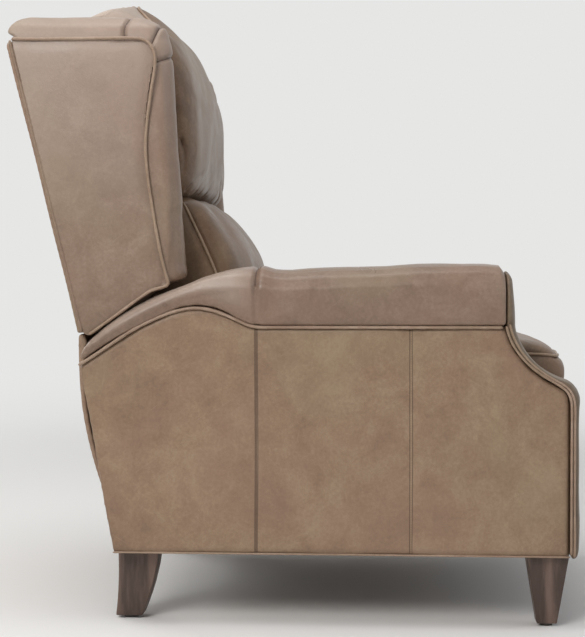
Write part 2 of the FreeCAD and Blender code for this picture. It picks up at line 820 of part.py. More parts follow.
def footrest_board():
    """Plywood board with its padded cover, and the two brackets that hold it."""
    half = size("BoardHalf")
    low, top = size("BoardLow"), size("BoardTop")
    back = size("BoardBackY")
    pivot_z = board_pivot()[1]
    body = new_body("footrest_board")
    sketch = new_sketch(body, "board_sketch", "XZ_Plane", -back)
    notch = size("NotchX")
    notch_low, notch_top = pivot_z - size("NotchHalf"), pivot_z + size("NotchHalf")
    outline(sketch, [
        (-half, low),
        (half, low),
        (half, notch_low),
        (notch, notch_low),
        (notch, notch_top),
        (half, notch_top),
        (half, top),
        (-half, top),
        (-half, notch_top),
        (-notch, notch_top),
        (-notch, notch_low),
        (-half, notch_low),
    ])
    pad(body, "board", sketch, size("BoardThick"))
    body = new_body("footrest_pad")
    front = back - size("BoardThick") - size("SoftGap")
    sketches = []
    stations = ((-1.0, 0.3, 6.0), (-0.98, 0.65, 3.0), (-0.9, 0.92, 1.0), (0.0, 1.0, 0.0),
                (0.9, 0.92, 1.0), (0.98, 0.65, 3.0), (1.0, 0.3, 6.0))
    for number, (share, thick, inset) in enumerate(stations):
        sketch = new_sketch(body, "section_%d" % number, "YZ_Plane", half * share)
        depth = size("PadThick") * thick
        outline(sketch, [
            (front, low + inset, -24.0),
            (front, top - inset),
            (front - depth, top - 14.0 - inset, -24.0),
            (front - depth, low + 14.0 + inset, -600.0),
        ])
        sketches.append(sketch)
    loft(body, "pad", sketches, ruled=True)
    hole = size("PinRound") + size("PinClear")
    y, z = board_pivot()
    for name, side in SIDES:
        loop = [
            (back, z - 62.0),
            (y + 6.0, z - 12.0),
            (y + 6.0, z + 12.0, -14.0),
            (back, z + 34.0),
        ]
        loops = [loop, (y, z, hole)]
        body = plate("footrest_bracket_" + name, side, size("BoardBracketX"), size("SteelThick"), loops)
        sketch = new_sketch(body, "flange_sketch", "YZ_Plane", (size("BoardBracketX") - 24.0) * side)
        outline(sketch, [
            (back, z - 62.0),
            (back + 3.0, z - 62.0),
            (back + 3.0, z + 34.0),
            (back, z + 34.0),
        ])
        pad(body, "flange", sketch, 24.5, side < 0)


# Seat

def seat_frame():
    low = size("SeatRailLow")
    tall = size("SeatRailHigh") - low
    thick = size("SeatRailThick")
    inner = size("SeatRailX")
    front, rear = size("SeatFrameFront"), size("SeatFrameRear")
    side_start = size("SeatRailFront")
    for name, side in SIDES:
        x = inner if side > 0 else -inner - thick
        box("seat_side_rail_" + name, x, side_start, low, thick, rear - side_start, tall)
    box("seat_front_rail", -inner, front, low, inner * 2, side_start - front + 30.0, tall)
    box("seat_rear_rail", -inner, rear - thick, low, inner * 2, thick, tall)


def wire_spring(label, x, front, rear, level, loops):
    """Zigzag seat spring: half-round turns joined by short straight runs across the spring."""
    pitch = (rear - front) / loops
    turn = pitch / 2
    half = SIZES["SpringWidth"] / 2 - turn
    edges = []
    y = front
    last = Vector(x, y, level)
    way = 1
    for number in range(loops):
        first = Vector(x + way * half, y, level)
        edges.append(Part.LineSegment(last, first).toShape())
        middle = Vector(x + way * (half + turn), y + turn, level)
        last = Vector(x + way * half, y + pitch, level)
        edges.append(Part.Arc(first, middle, last).toShape())
        y += pitch
        way = -way
    edges.append(Part.LineSegment(last, Vector(x, y, level)).toShape())
    path = Part.Wire(edges)
    ring = Part.Wire(Part.Circle(Vector(x, front, level), Vector(1, 0, 0), SIZES["SpringWire"]).toShape())
    item = doc.addObject("Part::Feature", label)
    item.Shape = path.makePipeShell([ring], True, False)
    return item


def seat_springs():
    springs = []
    count = 5
    inner = size("SeatRailX").value
    span = inner * 2
    for number in range(count):
        x = -inner + span * (number + 0.5) / count
        front = SIZES["SeatRailFront"] + 10.0
        rear = SIZES["SeatFrameRear"] - 12.0
        loops = int((rear - front) / SIZES["SpringPitch"])
        level = SIZES["SeatRailHigh"] + SIZES["SpringWire"]
        springs.append(wire_spring("spring_%d" % number, x, front, rear, level, loops))
    group("seat_springs", springs)


def seat_deck():
    level = size("SeatRailHigh") + size("SpringWire") * 2
    front = size("SeatFrameFront")
    half = size("SeatPlateX")
    box("seat_deck", -half, front, level, half * 2, size("SeatFrameRear") - front, size("DeckThick"))


def seat_cushion():
    """Seat cushion with a crowned top, a rolled front edge and sides that draw in."""
    body = new_body("seat_cushion")
    half = size("SeatHalf")
    deck_top = size("SeatRailHigh") + size("SpringWire") * 2 + size("DeckThick") + size("SoftGap")
    sketches = []
    for number, (share, drop) in enumerate(CROWN):
        sketch = new_sketch(body, "section_%d" % number, "YZ_Plane", half * share)
        top = size("CushionTop") - size("CushionSideDrop") * drop
        front = size("CushionFront") + size("CushionSideDraw") * drop
        rear = size("CushionRear") - size("CushionSideDraw") * drop
        low = deck_top + 8.0 * drop
        outline(sketch, [
            (front + 14.0, size("BoardTop") + 4.0, -90.0),
            (size("SeatFrameFront") - 2.0, size("BoardTop") + 4.0),
            (size("SeatFrameFront") - 2.0, low),
            (rear, low),
            (rear, top - 36.0, -140.0),
            (rear - 70.0, top - 8.0, -110.0),
            (-200.0, top + 2.0, -2600.0),
            (front + 66.0, top - 12.0, -900.0),
            (front, top - 58.0, -80.0),
        ])
        sketches.append(sketch)
    loft(body, "cushion", sketches, ruled=True)


# Back

def lean_point(along, forward):
    """Place on the side view, from the foot of the outside back: along its slope and forward of it."""
    lean = size("BackLean")
    y = size("BackFootY") + along * sine(lean) - forward * cosine(lean)
    z = size("BackFootZ") + along * cosine(lean) + forward * sine(lean)
    return y, z


def lean_box(label, x, along, forward, long, deep, tall):
    y, z = lean_point(as_size(along), as_size(forward))
    return box(label, x, y, z, long, deep, tall, -size("BackLean"))


def back_frame():
    """Two uprights and three rails of wood, with elastic webs across them."""
    thick, deep = size("BackPostThick"), size("BackPostDeep")
    inner = size("BackPostX")
    forward = size("OuterThick") + deep
    down, up = size("BackPostDown"), size("BackPostUp")
    for name, side in SIDES:
        x = inner if side > 0 else -inner - thick
        lean_box("back_post_" + name, x, -down, forward, thick, deep, down + up)
    rail = size("BackRailHigh")
    lean_box("back_bottom_rail", -inner, -down, size("OuterThick") + 44.0, inner * 2, 24.0, rail)
    lean_box("back_middle_rail", -inner, 150.0, size("OuterThick") + 44.0, inner * 2, 24.0, rail)
    lean_box("back_top_rail", -inner, up - rail, size("OuterThick") + 44.0, inner * 2, 24.0, rail)
    webs = []
    for number in range(5):
        along = -20.0 + size("WebPitch") * number
        webs.append(lean_box("web_%d" % number, -inner - thick, along, forward + size("WebThick"),
                             (inner + thick) * 2, size("WebThick"), size("WebHigh")))
    group("back_webbing", webs)


def back_brackets():
    """Steel plate that carries each back post on the seat plate's stud."""
    hole = size("PinRound") + size("PinClear")
    y, z = size("BackPivotY"), size("BackPivotZ")
    deep = size("OuterThick") + size("BackPostDeep")
    for name, side in SIDES:
        low_y, low_z = lean_point(-size("BackPostDown") + 6.0, size("OuterThick") + 20.0)
        mid_y, mid_z = lean_point(-size("BackPostDown") + 110.0, size("OuterThick") + 20.0)
        top_y, top_z = lean_point(-size("BackPostDown") + 110.0, deep - 6.0)
        loop = [
            (low_y, low_z),
            (mid_y, mid_z),
            (top_y, top_z),
            (y - 12.0, z + 10.0),
            (y + 2.0, z - 15.0, -16.0),
        ]
        body = plate("back_bracket_" + name, side, size("FootArmX"), size("SteelThick"), [loop, (y, z, hole)])


def outside_back():
    """Outside back panel with an arched top, and the skirt that hangs below it."""
    body = new_body("outside_back_panel")
    half = size("BackHalf")
    tall = size("BackTall")
    sketch = new_sketch(body, "panel_sketch", "XZ_Plane", 0.0)
    outline(sketch, [
        (-half, 0.0),
        (half, 0.0),
        (half, tall),
        (half - 24.0, tall + 9.0, -30.0),
        (-half + 24.0, tall + 9.0, -7300.0),
        (-half, tall, -30.0),
    ])
    pad(body, "panel", sketch, size("OuterThick"))
    place(body, 0.0, size("BackFootY"), size("BackFootZ"), -size("BackLean"))

    body = new_body("back_skirt")
    y, z = size("BackFootY"), size("BackFootZ")
    thick = size("SkirtThick")
    sketch = new_sketch(body, "skirt_sketch", "YZ_Plane", -size("SkirtHalf"))
    outline(sketch, [
        (y + 4.0, z - size("SoftGap")),
        (y + 1.0, z - 96.0, 900.0),
        (y - 36.0, z - 263.0, 560.0),
        (y - 45.0, z - 258.0),
        (y - 8.0, z - 96.0, -551.0),
        (back_rear(z - 40.0, size("OuterThick")) + 0.1, z - 40.0),
        (back_rear(z - size("SoftGap"), size("OuterThick")) + 0.1, z - size("SoftGap")),
    ])
    pad(body, "skirt", sketch, size("SkirtHalf") * 2)


def wing_bottom():
    """Lower edge of the wing, which runs a little above the arm, from front to rear."""
    return [(165.0, 592.0), (208.0, 580.0), (240.0, 569.0), (292.0, 531.0), (346.0, 492.0)]


def wing_panels():
    """Board panel on the outer face of each wing."""
    for name, side in SIDES:
        foot_y, foot_z = lean_point(as_size(1.0), size("OuterThick"))
        top_y, top_z = lean_point(size("BackTall"), size("OuterThick"))
        inner = size("BackHalf") - size("WingPanelThick")
        loop = [
            (foot_y, foot_z),
            (top_y, size("WingSeamZ") + 4.0),
            (252.0, size("WingSeamZ")),
            (229.0, size("WingSeamZ") - 30.0, -30.0),
            (246.0, 812.0, 600.0),
            (222.0, 639.0, 950.0),
        ] + wing_bottom()[1:]
        plate("wing_panel_" + name, side, inner, size("WingPanelThick"), [loop])


def wing_pads():
    """Padded body of each wing, with the roll down its front edge and over its top."""
    # level, front of the outer seam, nose of the roll, inset all round as a share of the width
    stations = (
        (482.0, 214.0, 166.0, 0.0),
        (600.0, 214.0, 166.0, 0.0),
        (700.0, 233.0, 184.0, 0.0),
        (812.0, 246.0, 194.0, 0.0),
        (900.0, 243.0, 199.0, 0.0),
        (985.0, 236.0, 205.0, 0.0),
        (1022.0, 246.0, 216.0, 0.09),
        (1040.0, 276.0, 250.0, 0.3),
    )
    lean = size("BackLean")
    for name, side in SIDES:
        body = new_body("wing_pad_" + name)
        outer = size("BackHalf") - size("WingPanelThick") - size("SoftGap")
        inner = size("WingInner")
        width = outer - inner
        nose_round = width * 0.06 + size("NoseRound")
        sketches = []
        for number, (level, seam, nose, share) in enumerate(stations):
            inset = width * share
            sketch = new_sketch(body, "section_%d" % number, "XY_Plane", level)
            rear = size("BackFootY") + (level - size("BackFootZ")) * sine(lean) / cosine(lean)
            rear = rear - (size("OuterThick") + size("SoftGap")) / cosine(lean) - inset * 1.2
            middle = inner + width * 0.62
            outline(sketch, [
                ((inner + inset * 0.5) * side, rear),
                ((outer - inset) * side, rear),
                ((outer - inset) * side, as_size(seam)),
                (middle * side, as_size(nose), nose_round * side),
                ((inner + width * 0.19) * side, as_size(nose + 46.0), 62.0 * side),
                ((inner + inset * 0.5) * side, as_size(nose + 104.0), 200.0 * side),
            ])
            sketches.append(sketch)
        loft(body, "pad", sketches, ruled=True)
        cut = new_sketch(body, "foot_cut_sketch", "YZ_Plane", (inner - 10.0) * side)
        lower = wing_bottom()
        outline(cut, [(80.0, 440.0), (420.0, 440.0), (420.0, 500.0)] + lower[::-1] + [(80.0, 592.0)])
        pocket(body, "foot_cut", cut, outer - inner + 30.0, side > 0)


def pillow(label, half, sections, shape):
    body = new_body(label)
    sketches = []
    for number, (share, drop) in enumerate(sections):
        sketch = new_sketch(body, "section_%d" % number, "YZ_Plane", half * share)
        outline(sketch, shape(drop))
        sketches.append(sketch)
    loft(body, "pillow", sketches, ruled=True)
    return body


def back_rear(level, room):
    """Y of a plane parallel to the outside back, room in front of it, at one level."""
    lean = size("BackLean")
    slope = sine(lean) / cosine(lean)
    return size("BackFootY") + (as_size(level) - size("BackFootZ")) * slope - as_size(room) / cosine(lean)


def pillow_room():
    """Distance from the outside back's rear face to the rear of the cushions."""
    return size("OuterThick") + size("BackPostDeep") + size("WebThick") + size("SoftGap")


def crest_seam(level, gap):
    """Y of the sloping plane between the head cushion and the crest, at one level."""
    foot_y, foot_z = lean_point(size("BackPostUp") + 2.0, pillow_room())
    slope = (foot_y - size("CrestSeamY")) / (size("CrestTopZ") - foot_z)
    return foot_y - (as_size(level) - foot_z) * slope + gap


def lumbar_pillow():
    room = pillow_room()
    draw = size("PillowDraw")
    split = size("PillowSplitZ")

    def section(drop):
        low = size("LumbarLowZ") + 14.0 * drop
        return [
            (back_rear(low, room), low),
            (back_rear(split, room), split - 1.0),
            (size("LumbarFrontY") + 110.0 + draw * 0.3 * drop, split - 1.0 - 3.0 * drop),
            (size("LumbarFrontY") + 74.0 + draw * drop, split - 16.0, -62.0),
            (size("LumbarFrontY") + 11.0 + draw * drop, split - 105.0, -420.0),
            (size("LumbarFrontY") + draw * drop, size("LumbarLowZ") + 49.0, -190.0),
            (size("LumbarFrontY") + 36.0 + draw * 0.8 * drop, low, -60.0),
        ]

    pillow("lumbar_pillow", size("PillowHalf"), CROWN, section)


def headrest_pillow():
    room = pillow_room()
    draw = size("HeadDraw")
    split = size("PillowSplitZ")
    corner_y, corner_z = lean_point(size("BackPostUp") + 2.0, room)

    def section(drop):
        top = size("HeadTopZ") - size("HeadSideFall") * drop
        front = size("HeadFrontY") + draw * drop
        return [
            (back_rear(split + 1.0, room), split + 1.0),
            (corner_y, corner_z),
            (crest_seam(top - 20.0, -0.5), top - 20.0),
            (crest_seam(top, -8.0), top, -70.0),
            (front + 47.0 - draw * 0.2 * drop, top - 69.0 + 56.0 * drop, -300.0),
            (front, split + 147.0 - 8.0 * drop, -290.0),
            (front + 1.0, split + 33.0, -700.0),
            (front + 26.0 - draw * 0.4 * drop, split + 1.0, -40.0),
        ]

    pillow("headrest_pillow", size("PillowHalf"), CROWN, section)


def crest():
    """Padded crest over the top of the back, arched between the two wings."""
    body = new_body("crest_pad")
    half = size("WingInner") - size("SoftGap")
    above = size("BackPostUp") + 2.0
    over = size("BackTall") + 20.0
    inner = size("OuterThick") + size("SoftGap")
    sketches = []
    for number, share in enumerate((-1.0, -0.8, -0.55, -0.28, 0.0, 0.28, 0.55, 0.8, 1.0)):
        sketch = new_sketch(body, "section_%d" % number, "YZ_Plane", half * share)
        fall = size("CrestFall") * abs(share) ** 2.4
        top = size("CrestTopZ") - fall
        rear_top = lean_point(over + 11.0, as_size(4.0))
        outline(sketch, [
            lean_point(above, inner),
            lean_point(over, inner),
            lean_point(over, as_size(1.0)),
            rear_top + (as_size(-20.0),),
            (crest_seam(top, 76.0), top - 26.0 + fall * 0.2, -((top - rear_top[1]) * 0.5 + 70.0)),
            (crest_seam(top, 14.0), top, -160.0),
            (crest_seam(top - 12.0, 0.5), top - 12.0, -14.0),
            lean_point(above, pillow_room()),
        ])
        sketches.append(sketch)
    loft(body, "crest", sketches, ruled=True)


def check_model():
    """Stop before anything is written if an object failed or a shape is wrong."""
    wrong = []
    for item in doc.Objects:
        states = set(item.State)
        if "Invalid" in states or "Error" in states:
            wrong.append("%s is in state %s" % (item.Name, sorted(states)))
    return wrong


def make_parts():
    fill_sheet()
    side_panels()
    inner_arm_panels()
    arm_frames()
    arm_rolls()
    arm_facings()
    cross_rails()
    legs()
    base_brackets()
    seat_plates()
    footrest_links()
    footrest_board()
    seat_frame()
    seat_springs()
    seat_deck()
    seat_cushion()
    back_frame()
    back_brackets()
    outside_back()
    wing_panels()
    wing_pads()
    lumbar_pillow()
    headrest_pillow()
    crest()
    doc.recompute()


def sub_parts():
    """Every top object that is a piece of the chair and belongs to no group."""
    grouped = set()
    for item in doc.Objects:
        if item.TypeId == "Part::Compound":
            grouped.update(link.Name for link in item.Links)
    found = []
    for item in doc.Objects:
        kinds = ("PartDesign::Body", "Part::Compound", "Part::Box", "Part::Cylinder", "Part::Feature")
        if item.TypeId in kinds and item.Name not in grouped:
            found.append(item)
    return found


make_parts()
problems = check_model()
parts = sub_parts()
for item in parts:
    shape = item.Shape
    if shape.isNull() or not shape.isValid() or not shape.Solids:
        problems.append("%s has no valid solid" % item.Label)
if problems:
    raise SystemExit("\n".join(problems))
for item in parts:
    item.Shape.exportStep("parts/%s.step" % item.Label)
    box_now = item.Shape.BoundBox
    print("%-26s %2d solid(s) %10.0f mm3  x %7.1f %7.1f  y %7.1f %7.1f  z %7.1f %7.1f" % (
        item.Label, len(item.Shape.Solids), item.Shape.Volume, box_now.XMin, box_now.XMax,
        box_now.YMin, box_now.YMax, box_now.ZMin, box_now.ZMax))
print(len(parts), "sub-parts")
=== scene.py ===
import json
import math

import bmesh
import bpy
import numpy as np
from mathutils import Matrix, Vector

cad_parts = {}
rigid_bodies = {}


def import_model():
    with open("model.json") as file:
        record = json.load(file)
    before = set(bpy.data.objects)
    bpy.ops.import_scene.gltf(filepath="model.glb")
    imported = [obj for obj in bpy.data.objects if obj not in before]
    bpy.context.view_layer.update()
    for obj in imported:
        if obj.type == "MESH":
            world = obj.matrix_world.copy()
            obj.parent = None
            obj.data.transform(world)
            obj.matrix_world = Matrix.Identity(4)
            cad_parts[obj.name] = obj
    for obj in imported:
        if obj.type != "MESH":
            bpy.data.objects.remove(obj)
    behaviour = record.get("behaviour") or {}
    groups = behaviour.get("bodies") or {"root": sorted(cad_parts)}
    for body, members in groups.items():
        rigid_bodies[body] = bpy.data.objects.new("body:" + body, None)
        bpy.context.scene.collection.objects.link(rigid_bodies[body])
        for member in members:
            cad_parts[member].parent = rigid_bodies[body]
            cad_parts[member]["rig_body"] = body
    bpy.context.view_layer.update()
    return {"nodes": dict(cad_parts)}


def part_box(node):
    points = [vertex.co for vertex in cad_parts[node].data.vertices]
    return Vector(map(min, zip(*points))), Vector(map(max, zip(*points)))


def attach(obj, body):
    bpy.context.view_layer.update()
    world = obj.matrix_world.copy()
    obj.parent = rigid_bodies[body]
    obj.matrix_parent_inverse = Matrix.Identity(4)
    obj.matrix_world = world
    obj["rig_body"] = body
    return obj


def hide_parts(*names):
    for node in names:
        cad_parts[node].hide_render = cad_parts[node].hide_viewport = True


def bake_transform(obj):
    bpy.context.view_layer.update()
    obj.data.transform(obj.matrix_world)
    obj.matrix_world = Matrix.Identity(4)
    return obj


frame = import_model()
scene = bpy.context.scene


# Outer side panels of the arms. Each is a padded board covered with three pieces of
# hide, joined by two lapped and topstitched seams, and stapled round its edges.

def add_node(tree, kind, values=None, **settings):
    """Adds one shader node. A value that is a socket gets linked."""
    item = tree.nodes.new("ShaderNode" + kind)
    for key, value in settings.items():
        setattr(item, key, value)
    for key, value in (values or {}).items():
        if isinstance(value, bpy.types.NodeSocket):
            tree.links.new(value, item.inputs[key])
        else:
            item.inputs[key].default_value = value
    return item


def sums(tree, operation, first, second=0.0, third=0.0):
    """One Math node's result."""
    return add_node(tree, "Math", {0: first, 1: second, 2: third}, operation=operation).outputs[0]


def speckle(tree, where, scale, detail, rough=0.55, twist=0.0):
    """One Noise node's factor."""
    values = {"Vector": where, "Scale": scale, "Detail": detail, "Roughness": rough, "Distortion": twist}
    return add_node(tree, "TexNoise", values).outputs["Fac"]


def spread(tree, value, low, high, start=0.0, end=1.0):
    """Maps a value from low..high to start..end, smoothly and clamped."""
    values = {"Value": value, "From Min": low, "From Max": high, "To Min": start, "To Max": end}
    item = add_node(tree, "MapRange", values, interpolation_type="SMOOTHSTEP")
    return item.outputs["Result"]


def blended(tree, share, first, second):
    """One colour Mix node's result."""
    item = add_node(tree, "Mix", data_type="RGBA", blend_type="MIX")
    for slot, value in ((0, share), (6, first), (7, second)):
        if isinstance(value, bpy.types.NodeSocket):
            tree.links.new(value, item.inputs[slot])
        else:
            item.inputs[slot].default_value = value
    return item.outputs[2]


def srgb(red, green, blue):
    """Linear colour of an sRGB colour given in 0..255."""
    def linear(level):
        level = level / 255.0
        return level / 12.92 if level <= 0.04045 else ((level + 0.055) / 1.055) ** 2.4
    return (linear(red), linear(green), linear(blue), 1.0)


SEAM_REACH = 0.020  # how far a crease or a lapped seam marks the hide beside it, in metres
STITCHES = 240.0  # to the metre


def hide(name, deep, middle, pale, shift, roughness=0.46):
    """Waxed full-grain leather: cloudy dye, faint scratches, pores, and painted shade in its creases and seams.
    The attributes fold and lap say how near a crease and a lapped seam are, from 0 at
    SEAM_REACH to 1 on the line. run is the place along it, and a fourth attribute gives the
    painted sheen, a pale tint that stands in for highlights."""
    leather = bpy.data.materials.new(name)
    leather.use_nodes = True
    tree = leather.node_tree
    shader = tree.nodes["Principled BSDF"]
    where = add_node(tree, "TexCoord").outputs["Object"]
    where = add_node(tree, "Mapping", {"Vector": where, "Location": shift}).outputs["Vector"]
    clouds = speckle(tree, where, 4.6, 6.0, 0.62, 0.35)
    blotches = speckle(tree, where, 21.0, 5.0, 0.68, 0.5)
    flecks = speckle(tree, where, 170.0, 4.0, 0.7)
    dye = sums(tree, "MULTIPLY_ADD", blotches, 0.38, sums(tree, "MULTIPLY", flecks, 0.26))
    dye = sums(tree, "MULTIPLY_ADD", clouds, 0.36, dye)
    ramp = add_node(tree, "ValToRGB", {"Fac": dye})
    ramp.color_ramp.elements[0].position = 0.35
    ramp.color_ramp.elements[0].color = deep
    ramp.color_ramp.elements[1].position = 0.65
    ramp.color_ramp.elements[1].color = pale
    ramp.color_ramp.elements.new(0.5).color = middle
    tone = ramp.outputs["Color"]
    # rosy and olive drift of the dye over large areas
    drift = speckle(tree, where, 2.7, 4.0, 0.6, 0.4)
    tone = blended(tree, spread(tree, drift, 0.50, 0.64, 0.0, 0.34), tone, srgb(144, 127, 101))
    tone = blended(tree, spread(tree, drift, 0.36, 0.50, 0.30, 0.0), tone, srgb(143, 113, 96))
    # fine pale scratches, in three directions
    scratches = 0.0
    for turn, start in ((0.62, 0.0), (1.38, 4.0), (-0.55, 9.0)):
        turned = add_node(tree, "Mapping", {"Vector": where, "Rotation": (turn, 0.3 * turn, 0.0)})
        laid = add_node(tree, "Mapping", {"Vector": turned.outputs["Vector"], "Scale": (14.0, 13.0, 360.0),
                                          "Location": (start, start, 0.0)})
        scratch = spread(tree, speckle(tree, laid.outputs["Vector"], 1.0, 2.0, 0.5, 0.5), 0.67, 0.78)
        scratches = sums(tree, "MAXIMUM", scratch, scratches)
    tone = blended(tree, sums(tree, "MULTIPLY", scratches, 0.26), tone, pale)
    # painted sheen: a pale tint where highlights fall, carried by an attribute
    painted_sheen = add_node(tree, "Attribute", attribute_name="painted_sheen").outputs["Fac"]
    tone = blended(tree, sums(tree, "MULTIPLY", painted_sheen, 0.6), tone, srgb(188, 173, 161))
    # creases and lapped seams: painted shade in the creases and along each lapped seam's edge, a painted highlight on
    # each lap's raised top, and stitches
    fold = add_node(tree, "Attribute", attribute_name="fold").outputs["Fac"]
    lap = add_node(tree, "Attribute", attribute_name="lap").outputs["Fac"]
    run = add_node(tree, "Attribute", attribute_name="run").outputs["Fac"]
    from_lap = sums(tree, "MULTIPLY", sums(tree, "SUBTRACT", 1.0, lap), SEAM_REACH * 1000.0)
    crease = spread(tree, fold, 0.90, 0.985)
    shade = spread(tree, fold, 0.45, 0.98, 0.0, 0.2)
    lap_line = sums(tree, "ABSOLUTE", sums(tree, "SUBTRACT", from_lap, 2.5))
    lap_line = spread(tree, lap_line, 0.25, 0.85, 1.0, 0.0)
    lap_top = spread(tree, from_lap, 1.7, 2.4, 1.0, 0.0)
    stitch = sums(tree, "FRACT", sums(tree, "MULTIPLY", run, STITCHES))
    stitch = spread(tree, sums(tree, "ABSOLUTE", sums(tree, "SUBTRACT", stitch, 0.5)), 0.28, 0.4, 1.0, 0.0)
    thread = sums(tree, "ABSOLUTE", sums(tree, "SUBTRACT", from_lap, 1.1))
    thread = sums(tree, "MULTIPLY", spread(tree, thread, 0.15, 0.5, 1.0, 0.0), stitch)
    # painted highlight on the raised top of each lapped seam
    tone = blended(tree, sums(tree, "MULTIPLY", lap_top, 0.3), tone, pale)
    tone = blended(tree, sums(tree, "MULTIPLY", thread, 0.45), tone, srgb(118, 92, 68))
    # painted shade in and beside the creases and along the edge of each lapped seam
    painted_seam_shade = sums(tree, "MAXIMUM", sums(tree, "MULTIPLY", crease, 0.82), sums(tree, "MULTIPLY", lap_line, 0.6))
    painted_seam_shade = sums(tree, "MAXIMUM", painted_seam_shade, shade)
    tone = blended(tree, painted_seam_shade, tone, srgb(66, 46, 34))
    tree.links.new(tone, shader.inputs["Base Color"])
    gloss = spread(tree, blotches, 0.3, 0.7, roughness - 0.07, roughness + 0.09)
    tree.links.new(gloss, shader.inputs["Roughness"])
    # height in millimetres: pores, fine wrinkles and seams
    pores = add_node(tree, "TexVoronoi", {"Vector": where, "Scale": 620.0}, feature="SMOOTH_F1")
    height = sums(tree, "MULTIPLY", pores.outputs["Distance"], -0.16)
    height = sums(tree, "MULTIPLY_ADD", speckle(tree, where, 210.0, 4.0, 0.6), 0.22, height)
    height = sums(tree, "MULTIPLY_ADD", speckle(tree, where, 34.0, 4.0, 0.5, 0.5), 0.7, height)
    height = sums(tree, "MULTIPLY_ADD", scratches, -0.12, height)
    height = sums(tree, "MULTIPLY_ADD", crease, -0.9, height)
    height = sums(tree, "MULTIPLY_ADD", lap_top, 0.5, height)
    height = sums(tree, "MULTIPLY_ADD", lap_line, -0.5, height)
    height = sums(tree, "MULTIPLY_ADD", thread, -0.2, height)
    bump = add_node(tree, "Bump", {"Height": height, "Strength": 0.8, "Distance": 0.001})
    tree.links.new(bump.outputs["Normal"], shader.inputs["Normal"])
    shader.inputs["Specular IOR Level"].default_value = 0.38
    return leather


def settle(piece):
    """Turns what a piece's modifiers make into its own mesh."""
    made = piece.evaluated_get(bpy.context.evaluated_depsgraph_get())
    mesh = bpy.data.meshes.new_from_object(made)
    piece.modifiers.clear()
    piece.data = mesh


def points_of(piece):
    flat = np.empty(len(piece.data.vertices) * 3, np.float32)
    piece.data.vertices.foreach_get("co", flat)
    return flat.reshape(-1, 3).astype(float)


def normals_of(piece):
    flat = np.empty(len(piece.data.vertices) * 3, np.float32)
    piece.data.vertex_normals.foreach_get("vector", flat)
    return flat.reshape(-1, 3).astype(float)


def set_points(piece, points):
    piece.data.vertices.foreach_set("co", points.astype(np.float32).ravel())
    piece.data.update()


def relax(piece, rounds, keep_size=True):
    """Evens out a skin by moving each point towards its neighbours."""
    points = points_of(piece)
    ends = np.empty(len(piece.data.edges) * 2, np.int32)
    piece.data.edges.foreach_get("vertices", ends)
    first, second = ends[0::2], ends[1::2]
    total = len(points)
    count = np.maximum(np.bincount(ends, minlength=total), 1)[:, None]
    for _ in range(rounds):
        for share in ((0.5, -0.53) if keep_size else (0.5,)):
            near = np.empty_like(points)
            for axis in range(3):
                near[:, axis] = np.bincount(first, points[second, axis], total)
                near[:, axis] += np.bincount(second, points[first, axis], total)
            points += share * (near / count - points)
    set_points(piece, points)


def skin_of(name, node, pore, even, eased, leather):
    """An even closed skin over a CAD solid, with its corners eased."""
    piece = bpy.data.objects.new(name, frame["nodes"][node].data.copy())
    scene.collection.objects.link(piece)
    piece.data.materials.clear()
    remesh = piece.modifiers.new("skin", "REMESH")
    remesh.mode = "VOXEL"
    remesh.voxel_size = pore
    settle(piece)
    relax(piece, even)
    relax(piece, eased, keep_size=False)
    piece.data.materials.append(leather)
    piece.data.shade_smooth()
    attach(piece, frame["nodes"][node]["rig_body"])
    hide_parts(node)
    return piece


def curved(corners, step=0.006):
    """Points at even steps along a smooth line through the corners."""
    corners = [np.array(corner, float) for corner in corners]
    count = len(corners)
    line = []
    for number in range(count - 1):
        b, c = corners[number], corners[number + 1]
        a = corners[number - 1] if number > 0 else 2 * b - c
        d = corners[number + 2] if number + 2 < count else 2 * c - b
        parts = max(2, int(np.linalg.norm(c - b) / step))
        for part in range(parts):
            t = part / parts
            line.append(0.5 * (2 * b + (c - a) * t + (2 * a - 5 * b + 4 * c - d) * t * t
                               + (3 * b - a - 3 * c + d) * t ** 3))
    line.append(corners[-1])
    return np.array(line)


def from_line(points, line):
    """Distance from each point to a line, and how far along the line that is."""
    gap = np.full(len(points), 9.0)
    along = np.zeros(len(points))
    run = 0.0
    for start, end in zip(line[:-1], line[1:]):
        way = end - start
        length = float(np.linalg.norm(way))
        if length == 0.0:
            continue
        share = np.clip((points - start) @ way / length ** 2, 0.0, 1.0)
        apart = np.linalg.norm(points - start - share[:, None] * way, axis=1)
        closer = apart < gap
        gap[closer] = apart[closer]
        along[closer] = run + share[closer] * length
        run += length
    return gap, along


def laid_on(piece, line, proud=0.0):
    """The line moved onto a skin, or proud of it and evened out."""
    laid = []
    for point in line:
        found, place, normal, face = piece.closest_point_on_mesh(Vector(point))
        laid.append(np.array(place) + np.array(normal) * proud)
    laid = np.array(laid)
    for _ in range(8 if proud else 0):
        laid[1:-1] = 0.25 * laid[:-2] + 0.5 * laid[1:-1] + 0.25 * laid[2:]
    return laid


